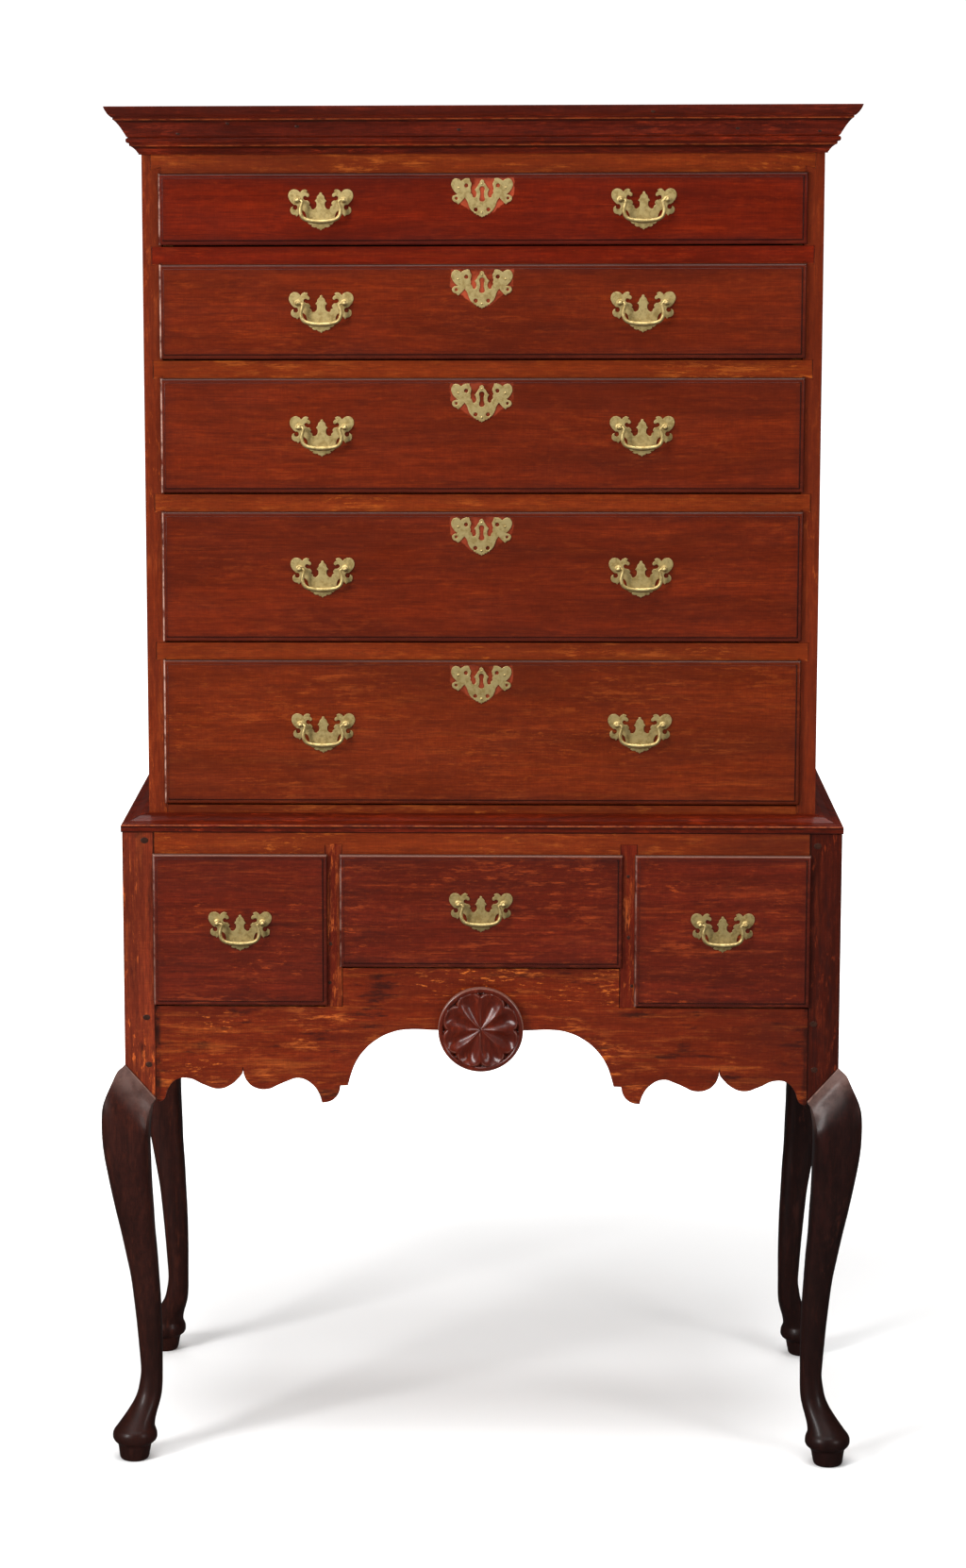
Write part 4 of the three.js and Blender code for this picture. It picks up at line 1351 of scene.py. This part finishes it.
@dataclass
class Leg:
    """A cabriole leg with its corner post above and its pad foot below, shaped from one blank."""

    name: str
    side_x: int
    side_y: int
    half_width: float = 479.5 * MM
    half_depth: float = 254 * MM
    post: float = 42 * MM
    height: float = 873 * MM
    knee: float = 556 * MM
    knee_fall: float = 48 * MM
    dark_reach: float = 480 * MM
    points: int = 32
    steps: int = 3
    stations: list[tuple[float, ...]] = field(default_factory=lambda: [
        # height, how far out the outer faces stand, where the inner faces lie, knee fall, squareness
        (555.8, 0.8, 41.8, 47.9, 18), (553, 4.6, 41, 47.5, 14), (548, 11.5, 37.6, 47, 11),
        (537, 17.6, 34.9, 46, 8.5), (523, 24.6, 33.4, 42.5, 6.8), (507, 29.8, 32.8, 37, 5.8),
        (490, 31.6, 32.6, 29, 5), (472, 31.7, 32.5, 20, 4.4), (452, 31, 32.6, 11, 4.1),
        (430, 28.9, 33, 4, 3.9), (405, 25.1, 33.4, 0, 3.7), (380, 20.8, 34.2, 0, 3.5),
        (352, 15.6, 35.6, 0, 3.3), (322, 9.6, 36.8, 0, 3.1), (290, 3.8, 39.2, 0, 2.9),
        (255, -2.2, 41, 0, 2.7), (220, -6, 42.8, 0, 2.5), (188, -9, 43.6, 0, 2.4),
        (160, -11.2, 44, 0, 2.3), (138, -12.8, 43.8, 0, 2.3), (118, -13.8, 43.6, 0, 2.3),
        (102, -11.8, 43.4, 0, 2.2), (88, -8.8, 42.4, 0, 2.2), (76, -3.4, 40, 0, 2.1),
        (65, 3.8, 36.8, 0, 2), (56, 10.4, 34.6, 0, 2), (50, 15, 33.8, 0, 2), (45, 18.8, 34, 0, 2),
        (41, 22, 35.6, 0, 2), (36, 23.8, 37, 0, 2), (31, 23.8, 37, 0, 2), (27, 22.2, 35.4, 0, 2),
        (24, 19.4, 32.2, 0, 2), (21.5, 17.2, 29.6, 0, 2), (19, 16.4, 28.6, 0, 2),
        (10, 15.2, 26.8, 0, 2), (4, 14.4, 25.6, 0, 2), (1.2, 13, 24.2, 0, 2), (0, 11.2, 22.4, 0, 2)])

    def build(self, dresser: Dresser) -> None:
        """Builds and dresses the leg.

        Args:
            dresser: What gives the leg its finish.
        """
        rings = [self._ring(height * MM, out * MM, inner * MM, fall * MM, square)
                 for height, out, inner, fall, square in self.stations]
        piece = Bench.loft(f"{self.name}_cabriole", self._finer(rings))
        Bench.smooth(piece, 38.0, flats=False)
        slope = self.knee_fall / self.post
        # Darker towards the foot.
        lines = [Arris(UPWARDS, 0.0, self.dark_reach, 0.5, NEAR_BLACK, 0.2)]
        for normal, reach in (((-self.side_x * slope, 0.0, 1.0), self.half_width),
                              ((0.0, -self.side_y * slope, 1.0), self.half_depth)):
            level = self.knee - slope * reach
            # Along each knee plane: a broad painted sheen below the knee line, where light from above
            # catches the knee's top, and a thin worn line on the line itself.
            lines += [Arris(normal, level, 58 * MM, 0.4, KNEE_SHEEN, 0.5), Arris(normal, level, 3.6 * MM)]
        # The right-hand legs and posts take the shaded copies, the left-hand ones the lit copies.
        blank, finish = (LEG_LEFT_LIT, POST_LEFT_LIT) if self.side_x < 0 else (LEG_RIGHT_SHADED, POST_RIGHT_SHADED)
        dresser.wood(piece, blank, Grain.UPRIGHT, "case", marks=Marks(arrises=tuple(lines)))
        joint = Arris((self.side_x, 0.0, 0.0), self.half_width - self.post, 2.4 * MM, 0.8, NEAR_BLACK, 0.6)
        dresser.wood(self._post(), finish, Grain.UPRIGHT, "case", self.name,
                     marks=Marks(arrises=(joint,)))

    def _place(self, inward_x: float, inward_y: float, height: float) -> Vector:
        """Turns a place measured inward from the post's outer faces into the frame's."""
        return Vector((self.side_x * (self.half_width - inward_x),
                       self.side_y * (self.half_depth - inward_y), height))

    def _ring(self, height: float, out: float, inner: float, fall: float,
              square: float) -> list[Vector]:
        """Gives one section of the leg.

        Args:
            height: Its height at the outer corner.
            out: How far its outer sides stand out of the post.
            inner: Where its inner sides lie.
            fall: How much lower it is at its inner sides.
            square: Its squareness, 2 for round.

        Returns:
            The section's points.
        """
        middle, half = (inner - out) / 2, (inner + out) / 2
        ring = []
        for k in range(self.points):
            c, s = math.cos(math.tau * k / self.points), math.sin(math.tau * k / self.points)
            reach = (abs(c) ** square + abs(s) ** square) ** (-1 / square)
            inward = max(reach * c, reach * s) / 2 + 0.5
            ring.append(self._place(middle + half * reach * c, middle + half * reach * s,
                                    height - fall * inward))
        return ring

    def _finer(self, rings: list[list[Vector]]) -> list[list[Vector]]:
        """Puts smooth rings between the given ones.

        Args:
            rings: The given rings.

        Returns:
            The finer rings.
        """
        finer = []
        for r in range(len(rings) - 1):
            before, here = rings[max(r - 1, 0)], rings[r]
            after, beyond = rings[r + 1], rings[min(r + 2, len(rings) - 1)]
            for step in range(self.steps):
                finer.append([self._between(*points, step / self.steps)
                              for points in zip(before, here, after, beyond)])
        return finer + [rings[-1]]

    @staticmethod
    def _between(p0: Vector, p1: Vector, p2: Vector, p3: Vector, t: float) -> Vector:
        """Gives a point of a smooth curve through four points, at a share of the middle gap."""
        return 0.5 * (2 * p1 + (p2 - p0) * t + (2 * p0 - 5 * p1 + 4 * p2 - p3) * t * t
                      + (3 * p1 - p0 - 3 * p2 + p3) * t ** 3)

    def _post(self) -> Piece:
        """Cuts the square post, with its lower end along the slanted knee line.

        Returns:
            The post.
        """
        corners_in = ((0, 0), (self.post, 0), (self.post, self.post), (0, self.post))
        low = self.knee - self.knee_fall
        top = [self._place(x, y, self.height) for x, y in corners_in]
        foot = [self._place(x, y, low if x or y else self.knee) for x, y in corners_in]
        piece = Bench.loft(f"{self.name}_post", [top, foot])
        Bench.ease(piece, 0.8 * MM)
        Bench.smooth(piece)
        return piece


@dataclass
class Skirt:
    """The scalloped skirt board and its carved rosette."""

    thickness: float = 22 * MM
    ease: float = 0.5 * MM
    end: float = 437.2 * MM
    shoulder: float = 185.1 * MM
    side_top: float = 635.7 * MM
    middle_top: float = 689 * MM
    edge: list[tuple[float, ...]] = field(default_factory=lambda: [
        # from the arch out to the post, in millimetres
        (60, 604.2), (101, 604.7), (119, 601), (138.5, 591.6), (156.5, 576), (168.3, 558.5),
        (174.6, 542), (178.6, 527.4, 1), (188.6, 527, 1), (191.2, 516.6), (196.4, 509.4), (204, 504.9),
        (213.6, 503.3, 1), (217.4, 515.2), (226.6, 528.4), (244.5, 537.2), (262, 532.3), (273, 527.5),
        (286, 521.8), (304, 523.6), (315.2, 533), (319.6, 543, 1), (320, 552, 1), (320.6, 552, 1),
        (321, 543, 1), (325.4, 537.5), (336, 527.8), (353, 521.7), (374, 527.8), (393, 536),
        (411, 534), (422, 521), (426.6, 508), (431.6, 504), (437.2, 503.6, 1)])
    middle_height: float = 607.1 * MM
    radius: float = 57 * MM
    rim: float = 5.4 * MM
    rosette_thickness: float = 13 * MM
    around: int = 256
    rings: int = 60
    petals: int = 8
    scoop: float = 6.4 * MM
    crest_low: float = 1.2 * MM
    crest_fall: float = 2.6 * MM
    lobe_depth: float = 7.6 * MM

    def build(self, dresser: Dresser) -> None:
        """Builds and dresses the skirt and its rosette.

        Args:
            dresser: What gives them their finish.
        """
        right = outline(self.edge) + [(self.end, self.side_top, True),
                                      (self.shoulder, self.side_top, True),
                                      (self.shoulder, self.middle_top, True)]
        piece = sawn("skirt_board", [mirrored(right, shared=0)], self.thickness, self.ease,
                     LOWER_FRONT)
        Bench.smooth(piece, 32.0)
        ends = [Arris((side, 0.0, 0.0), self.end, 9 * MM, 0.9, NEAR_BLACK, 0.9) for side in (-1.0, 1.0)]
        # Painted shade, darkening the skirt towards its right end away from the light.
        ends.append(Arris(ALONG_X, self.end, 120 * MM, 0.4, PAINTED_SHADE, 0.6))
        dresser.wood(piece, SKIRT, Grain.ACROSS, "case", "skirt", marks=Marks(arrises=tuple(ends)))
        dresser.wood(self._rosette(), CARVING, Grain.UPRIGHT, "case", "rosette")

    def _rosette(self) -> Piece:
        """Carves the rosette: a disc is inset ring by ring and then scooped.

        Returns:
            The carving.
        """
        Bench.clear()
        back = LOWER_FRONT - SEAT
        bpy.ops.mesh.primitive_circle_add(vertices=self.around, radius=self.radius, fill_type="NGON",
                                          location=(0, back, self.middle_height),
                                          rotation=(math.pi / 2, 0, 0))
        piece = bpy.context.object
        piece.name = "carved_rosette"
        Bench.settle(piece)
        Bench.edit(piece).faces[:][0].select_set(True)
        bpy.ops.mesh.extrude_region_move(
            TRANSFORM_OT_translate={"value": (0, -self.rosette_thickness, 0)})
        for _ in range(self.rings):
            bpy.ops.mesh.inset(thickness=self.radius / (self.rings + 1.2), depth=0)
        for vert in bmesh.from_edit_mesh(piece.data).verts:
            if vert.co.y < back - self.rosette_thickness / 2:
                vert.co.y += self._hollow(vert.co.x, vert.co.z - self.middle_height)
        Bench.close(piece)
        Bench.face_out(piece)
        Bench.smooth(piece, 55.0, flats=False)
        return piece

    def _hollow(self, across: float, up: float) -> float:
        """Gives how deep the carving lies under the disc's face.

        Args:
            across: The way across from the middle.
            up: The way up from the middle.

        Returns:
            The depth in metres.
        """
        radius = math.hypot(across, up)
        floor = self.radius - self.rim
        if radius > floor:
            share = (radius - floor) / self.rim
            shoulder = 1 - min(share / 0.45, 1.0)
            return (0.7 + 0.9 * shoulder + 1.0 * max(share - 0.6, 0.0) ** 2 * 6) * MM
        turn = math.atan2(up, across) / math.tau * self.petals
        turn += 0.07 * math.sin(2.2 * turn) * (1 - radius / floor)
        ridge = abs(1 - 2 * (turn % 1.0))
        sharp, round_top = 1 - ridge ** 1.5, 0.5 + 0.5 * math.cos(math.pi * ridge)
        bulge = min(max((radius / floor - 0.25) / 0.45, 0.0), 1.0)
        crest = self.crest_low + self.crest_fall * (1 - min(radius / (0.75 * floor), 1.0)) ** 1.2
        end = floor - 1.0 * MM - self.lobe_depth * ridge ** 3
        if radius < end:
            share = radius / end
            bowl = (share / 0.66) ** 0.8 if share < 0.66 else 1 - ((share - 0.66) / 0.34) ** 2.4
            return crest + self.scoop * bowl * (sharp + (round_top - sharp) * bulge)
        return crest + min(0.85 * (radius - end), 2.2 * (floor + 0.2 * MM - radius))


@dataclass
class Mouldings:
    """The mitred cornice and the waist moulding, each run along both sides and the front."""

    upper_half: float = 445 * MM
    back: float = 254 * MM
    top: float = 1829 * MM
    waist_floor: float = 873.3 * MM
    side_step: float = 35.8 * MM
    front_step: float = 29.3 * MM
    cornice: list[Point] = field(default_factory=lambda: [
        # how far out from the case, how far down from the top
        (0.3, 0), (44.6, 0), (45, 0.5), (44.6, 1.8), (43.4, 4.6), (41.7, 7.6), (39.6, 10.6),
        (37.4, 12.8), (36.2, 13.7), (35.8, 14.4), (34.3, 14.6), (34, 15), (34, 16.9), (33.6, 17.6),
        (32.6, 17.9), (30.6, 19.8), (27.6, 23.4), (24.6, 27.6), (21.9, 32), (19.6, 36), (18, 38.9),
        (17, 39.8), (16.2, 40), (16.4, 40.7), (18.1, 41.3), (18.8, 42.8), (18.8, 44.8), (18.2, 46.4),
        (16.6, 47.4), (14.9, 47.6), (14.6, 48.2), (14.6, 50.4), (14.1, 51.2), (12.8, 51.5), (10.6, 53),
        (8, 55.2), (5.8, 57.8), (4.2, 60.2), (3.6, 60.6), (3.4, 62.3), (3, 62.5), (0.3, 62.5)])
    waist: list[Point] = field(default_factory=lambda: [
        # how far out as a share of the step from case to case, how far up in millimetres
        (0, 0), (0.99, 0), (1, 0.5), (1, 8.2), (0.985, 9.4), (0.955, 10.1), (0.9, 10.2), (0.9, 11.6),
        (0.86, 12.2), (0.78, 12.4), (0.7, 13), (0.6, 14.4), (0.48, 16.4), (0.36, 18.4), (0.25, 19.8),
        (0.16, 20.4), (0.12, 20.6), (0.12, 21.6), (0, 21.9)])

    def build(self, dresser: Dresser) -> None:
        """Builds and dresses both mouldings.

        Args:
            dresser: What gives them their finish.
        """
        crown = [(out * MM, out * MM, self.top - down * MM) for out, down in self.cornice]
        belt = [(SEAT + out * self.side_step, SEAT + out * self.front_step,
                 self.waist_floor + up * MM) for out, up in self.waist]
        # Painted shade along the top fascia of the cornice.
        shade = Arris(UPWARDS, self.top - 6 * MM, 14 * MM, 0.45, PAINTED_SHADE, 0.5)
        # Dirt in the joint under the waist moulding, with a painted shadow under its edge.
        seam = Arris(UPWARDS, self.waist_floor, 1.8 * MM, 0.95, NEAR_BLACK, 0.2)
        worn = (self.top - 17.3 * MM, self.top - 51 * MM)
        for name, node, profile, heights, line in (
                ("cornice_moulding", "cornice", crown, worn, shade),
                ("waist_moulding_run", "waist_moulding", belt, (self.waist_floor + 9.2 * MM,), seam)):
            marks = Marks(arrises=(*self._levels(*heights), line))
            dresser.wood(self._run(name, profile), MOULDING, Grain.ACROSS, "case", node, marks=marks)

    @staticmethod
    def _levels(*heights: float) -> list[Arris]:
        """Gives level worn arrises, each with a painted shadow line in the quirk under it."""
        return [line for height in heights for line in (
            Arris(UPWARDS, height, 1.2 * MM, 0.3, BARE),
            Arris(UPWARDS, height - 2.4 * MM, 2.0 * MM, 0.85, NEAR_BLACK, 0.4))]

    def _run(self, name: str, profile: list[Triple]) -> Piece:
        """Runs a profile round the case with mitred corners.

        Args:
            name: The piece's name.
            profile: Each point's way out at the sides, way out at the front, and height.

        Returns:
            The moulding.
        """
        piece = Bench.loft(name, [
            [Vector((side * (self.upper_half + out_side),
                     UPPER_FRONT - out_front if at_front else self.back, height))
             for out_side, out_front, height in profile]
            for side, at_front in ((-1, False), (-1, True), (1, True), (1, False))])
        Bench.smooth(piece, 28.0)
        return piece


@dataclass
class Fixings:
    """Pegs of the joints and the old nails of the cornice."""

    nail_size: Point = (2.6, 2.2)
    head: list[Point] = field(default_factory=lambda: [  # share of the size, height in millimetres
        (1.0, -3.0), (1.0, 0.1), (0.9, 0.4), (0.5, 0.6), (0.05, 0.65)])
    pegs: list[tuple[float, ...]] = field(default_factory=lambda: [
        # across, up, half width, half height
        (-449.5, 862, 5.4, 4.3), (-449.5, 620, 5.2, 3.9), (-447, 555, 4.8, 3.9), (447, 857, 5.2, 4.2),
        (445, 615, 5, 4), (447, 552, 4.6, 3.8), (-201, 722, 2.2, 2.6), (-202.5, 669, 2.3, 2.4),
        (196, 815, 2.1, 2.2), (197, 732, 2.3, 2.6), (202, 666, 2.2, 2.3)])
    nails: list[Triple] = field(default_factory=lambda: [
        # across, way out of the upper case's face, height
        (-330, 28.6, 1806.8), (-240, 25.6, 1802.8), (-30, 22.6, 1798.2), (220, 41.2, 1820.4),
        (330, 22.9, 1798.6), (-395, 20, 1793.8), (436, 20.6, 1795)])

    def build(self, dresser: Dresser) -> None:
        """Builds and dresses the pegs and nails.

        Args:
            dresser: What gives them their finish.
        """
        for k, (x, z, wide, high) in enumerate(self.pegs):
            place = Vector((x * MM, LOWER_FRONT, z * MM))
            dresser.wood(self._button(f"peg_{k + 1}", place, (wide, high), 9), PEG, Grain.DEEP, "case")
        for k, (x, out, z) in enumerate(self.nails):
            place = Vector((x * MM, UPPER_FRONT - out * MM, z * MM))
            dresser.wood(self._button(f"cornice_nail_{k + 1}", place, self.nail_size, 8), PEG,
                         Grain.DEEP, "case")

    def _button(self, name: str, place: Vector, size: Point, sides: int) -> Piece:
        """Makes the end of a peg or nail, a little proud of the wood and a little out of round.

        Args:
            name: Its name.
            place: Its middle on the surface.
            size: Half its width and half its height in millimetres.
            sides: The number of its whittled sides.

        Returns:
            The piece.
        """
        stations = [(share, height * MM) for share, height in self.head]
        piece = Bench.turn(name, place, stations, sides, size[0] * MM, size[1] * MM, 0.3)
        Bench.smooth(piece, 60.0)
        return piece


@dataclass
class Case:
    """The boards of both cases, with their edges eased."""

    boards: dict[str, tuple[Wood, Grain]] = field(default_factory=lambda: {
        "upper_side_left": (CASE, Grain.UPRIGHT), "upper_side_right": (CASE, Grain.UPRIGHT),
        "drawer_blade_1": (RAIL_RED, Grain.ACROSS), "drawer_blade_2": (RAIL, Grain.ACROSS),
        "drawer_blade_3": (RAIL, Grain.ACROSS), "drawer_blade_4": (RAIL, Grain.ACROSS),
        "upper_top": (RAIL, Grain.ACROSS), "upper_bottom": (RAIL, Grain.ACROSS),
        "upper_back": (PINE, Grain.UPRIGHT),
        "lower_side_left": (CASE, Grain.DEEP), "lower_side_right": (CASE, Grain.DEEP),
        "lower_back": (PINE, Grain.ACROSS)})
    upper_seams: Point = (-152 * MM, 131 * MM)
    lower_seam: float = 718 * MM
    ease: float = 0.5 * MM

    def build(self, dresser: Dresser) -> None:
        """Builds and dresses the boards.

        Args:
            dresser: What gives them their finish.
        """
        for node, (finish, grain) in self.boards.items():
            piece = Bench.eased_node(node, f"{node}_board", self.ease)
            lines = ()
            if node.startswith("drawer_blade"):
                low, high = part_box(node)
                under = Arris(UPWARDS, low.z + 0.4 * MM, 1.5 * MM, tone=BARE)
                lines = (under, *joint_lines(low.x, high.x))
            elif node == "upper_back":
                lines = joint_lines(*self.upper_seams)
            elif node == "lower_back":
                lines = joint_lines(self.lower_seam, normal=UPWARDS)
            dresser.wood(piece, finish, grain, "case", node, marks=Marks(arrises=lines))


@dataclass
class FrontFrame:
    """The top rail of the lower case, notched for the two dividers that are lapped into it."""

    node: str = "lower_top_rail"
    divider_outer: float = 208.4 * MM
    divider_width: float = 23 * MM
    rail_height: float = 30 * MM
    lap: float = 15 * MM
    gap: float = 0.15 * MM
    ease: float = 0.4 * MM

    def build(self, dresser: Dresser) -> None:
        """Builds and dresses the rail and the dividers.

        Args:
            dresser: What gives them their finish.
        """
        low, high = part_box(self.node)
        under = high.z - self.rail_height
        rail = Bench.block("front_top_rail", (low.x, low.y, under), high)
        for side, hand in ((-1, "left"), (1, "right")):
            inner = self.divider_outer - self.divider_width
            edges = sorted((side * self.divider_outer, side * inner))
            Bench.carve(rail, Bench.block("notch", (edges[0], low.y - self.lap, under - self.lap),
                                          (edges[1], high.y + self.lap, under + self.lap)))
            divider = Bench.block(f"front_divider_{hand}", (edges[0] + self.gap, low.y, low.z),
                                  (edges[1] - self.gap, high.y, under + self.lap - self.gap))
            self._finish(dresser, divider, DIVIDER, Grain.UPRIGHT, joint_lines(*edges))
        # Painted shade, darkening the rail towards its right end away from the light.
        shade = Arris(ALONG_X, high.x, 190 * MM, 0.5, PAINTED_SHADE, 0.2)
        self._finish(dresser, rail, RAIL, Grain.ACROSS, (shade, *joint_lines(low.x, high.x)), self.node)

    def _finish(self, dresser: Dresser, piece: Piece, wood: Wood, grain: Grain,
                lines: tuple[Arris, ...], *solids: str) -> None:
        """Eases, smooths and dresses a piece of the frame.

        Args:
            dresser: What gives it its finish.
            piece: The piece.
            wood: Its finish.
            grain: The way its grain runs.
            lines: The dirt and shade on it.
            solids: The solids that it stands for.
        """
        Bench.ease(piece, self.ease)
        Bench.smooth(piece)
        dresser.wood(piece, wood, grain, "case", *solids, marks=Marks(arrises=lines))


@dataclass
class Studio:
    """The plain studio: white paper, soft lights and the camera."""

    eye: Triple = (0.0328, -5.5085, 1.8141)
    tilt: float = 0.1649
    turn: float = 0.0363
    roll: float = -0.0034
    focal_pixels: float = 4248.0
    picture: Point = (1024.0, 1662.0)
    axis_across: float = 384.0  # the pixel column that the lens points at
    sensor: float = 36.0
    paper: float = 44.0
    glow: float = 0.06  # of the paper under the piece
    far_glow: float = 1.1  # how much more the paper glows away from it
    sky: float = 1.2
    dim_sky: float = 0.3
    glossy_dimming: float = 0.26
    softboxes: dict[str, tuple[Triple, Triple, float, float, float]] = field(default_factory=lambda: {
        # place, target, width, height, power in watts
        "key_left": ((-3.3, -3.4, 2.6), (0, -0.25, 0.9), 1.3, 2.2, 217.0),
        "fill_right": ((3.6, -3.6, 2.2), (0, -0.25, 0.7), 1.2, 2.0, 65.0),
        "overhead": ((0, -1.2, 4.6), (0, 0.2, 0.0), 3.4, 2.4, 192.0),
        "rear_top": ((0, 1.5, 4.3), (0, 0.1, 0.2), 3.0, 1.8, 60.0)})

    def build(self) -> None:
        """Sets up the camera, the paper, the surroundings and the lights."""
        self._camera()
        self._paper()
        self._surroundings()
        for name, (place, target, width, height, power) in self.softboxes.items():
            self._softbox(name, Vector(place), Vector(target), (width, height), power)

    def _camera(self) -> None:
        """Places the camera where the photograph was taken from."""
        Bench.clear()
        aim = (Matrix.Rotation(self.turn, 4, "Z") @ Matrix.Rotation(math.pi / 2 - self.tilt, 4, "X")
               @ Matrix.Rotation(self.roll, 4, "Z"))
        bpy.ops.object.camera_add(location=self.eye, rotation=aim.to_euler())
        camera = bpy.context.object
        camera.name = "camera"
        camera.data.sensor_width = self.sensor
        camera.data.lens = self.focal_pixels / self.picture[1] * self.sensor
        camera.data.shift_x = (self.picture[0] / 2 - self.axis_across) / self.picture[1]
        camera.data.clip_start, camera.data.clip_end = 0.1, 60.0
        bpy.context.scene.camera = camera

    def _paper(self) -> None:
        """Lays the pale paper floor, which shows white away from the piece."""
        Bench.clear()
        bpy.ops.mesh.primitive_plane_add(size=self.paper, location=(0, 0, 0))
        floor = bpy.context.object
        floor.name = "studio_floor"
        material, n, shader, place = new_material("studio_paper")
        away = n.add("ShaderNodeVectorMath", {0: place}, operation="LENGTH").outputs["Value"]
        rays = n.add("ShaderNodeLightPath").outputs
        far = n.times(n.ramp(away, 0.9, 2.4), rays["Is Camera Ray"])
        n.fill(shader, {
            "Base Color": n.mix(n.noise(place, 1.2, 2.0), (0.88, 0.88, 0.88, 1), (0.92, 0.92, 0.92, 1)),
            "Roughness": 0.9, "Specular IOR Level": 0.1, "Emission Color": WHITE,
            "Emission Strength": n.plus(n.times(far, self.far_glow), self.glow)})
        dim = n.add("ShaderNodeEmission", {"Color": WHITE, "Strength": self.glow})
        both = n.add("ShaderNodeMixShader", {0: rays["Is Glossy Ray"], 1: shader.outputs[0],
                                             2: dim.outputs[0]})
        n.feed(material.node_tree.nodes["Material Output"].inputs["Surface"], both.outputs[0])
        floor.data.materials.append(material)

    def _surroundings(self) -> None:
        """Sets the surroundings: white to look at, dim to be lit by."""
        world = bpy.data.worlds.new("studio")
        world.use_nodes = True
        n = Nodes(world.node_tree)
        white = world.node_tree.nodes["Background"]
        n.fill(white, {"Color": WHITE, "Strength": self.sky})
        rays = n.add("ShaderNodeLightPath").outputs
        strength = n.minus(self.dim_sky, n.times(rays["Is Glossy Ray"], self.glossy_dimming))
        dim = n.add("ShaderNodeBackground", {"Color": WHITE, "Strength": strength})
        both = n.add("ShaderNodeMixShader", {0: rays["Is Camera Ray"], 1: dim.outputs[0],
                                             2: white.outputs[0]})
        n.feed(world.node_tree.nodes["World Output"].inputs["Surface"], both.outputs[0])
        bpy.context.scene.world = world

    @staticmethod
    def _softbox(name: str, place: Vector, target: Vector, size: Point, power: float) -> None:
        """Hangs one soft box.

        Args:
            name: Its name.
            place: Where it hangs.
            target: What it points at.
            size: Its width and height.
            power: Its power in watts.
        """
        Bench.clear()
        bpy.ops.object.light_add(type="AREA", location=place)
        lamp = bpy.context.object
        lamp.name = name
        lamp.data.shape = "RECTANGLE"
        lamp.data.size, lamp.data.size_y = size
        lamp.data.energy = power
        lamp.rotation_euler = (target - place).to_track_quat("-Z", "Y").to_euler()


def main() -> None:
    """Builds the studio and every sub-assembly in order."""
    logging.basicConfig(level=logging.INFO, format="%(name)s: %(message)s")
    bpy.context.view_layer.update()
    bpy.context.scene.view_settings.view_transform = "Standard"
    Groups.build()
    Studio().build()
    dresser = Dresser()
    Case().build(dresser)
    FrontFrame().build(dresser)
    for side_y, end in ((-1, "front"), (1, "rear")):
        for side_x, hand in ((-1, "left"), (1, "right")):
            Leg(f"leg_{end}_{hand}", side_x, side_y).build(dresser)
    Skirt().build(dresser)
    Mouldings().build(dresser)
    for number, finish in enumerate((FRONT_RED, FRONT_MID, FRONT_MID, FRONT_MID, FRONT_WARM), 1):
        Drawer(f"upper_{number}", UPPER_FRONT, finish, True, 2 + number // 2,
               paleness=0.85 if number < 3 else 0.45).build(dresser)
    by_post = 2.9 * MM  # how far in the body of a lower drawer starts next to a post
    Drawer("lower_left", LOWER_FRONT, FRONT_LOWER, False, 5, inset_left=by_post).build(dresser)
    Drawer("lower_centre", LOWER_FRONT, FRONT_LOWER, False, 4).build(dresser)
    Drawer("lower_right", LOWER_FRONT, FRONT_LOWER, False, 5, inset_right=by_post).build(dresser)
    Brasses().build(dresser)
    Fixings().build(dresser)


if __name__ == "__main__":
    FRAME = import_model()
    main()
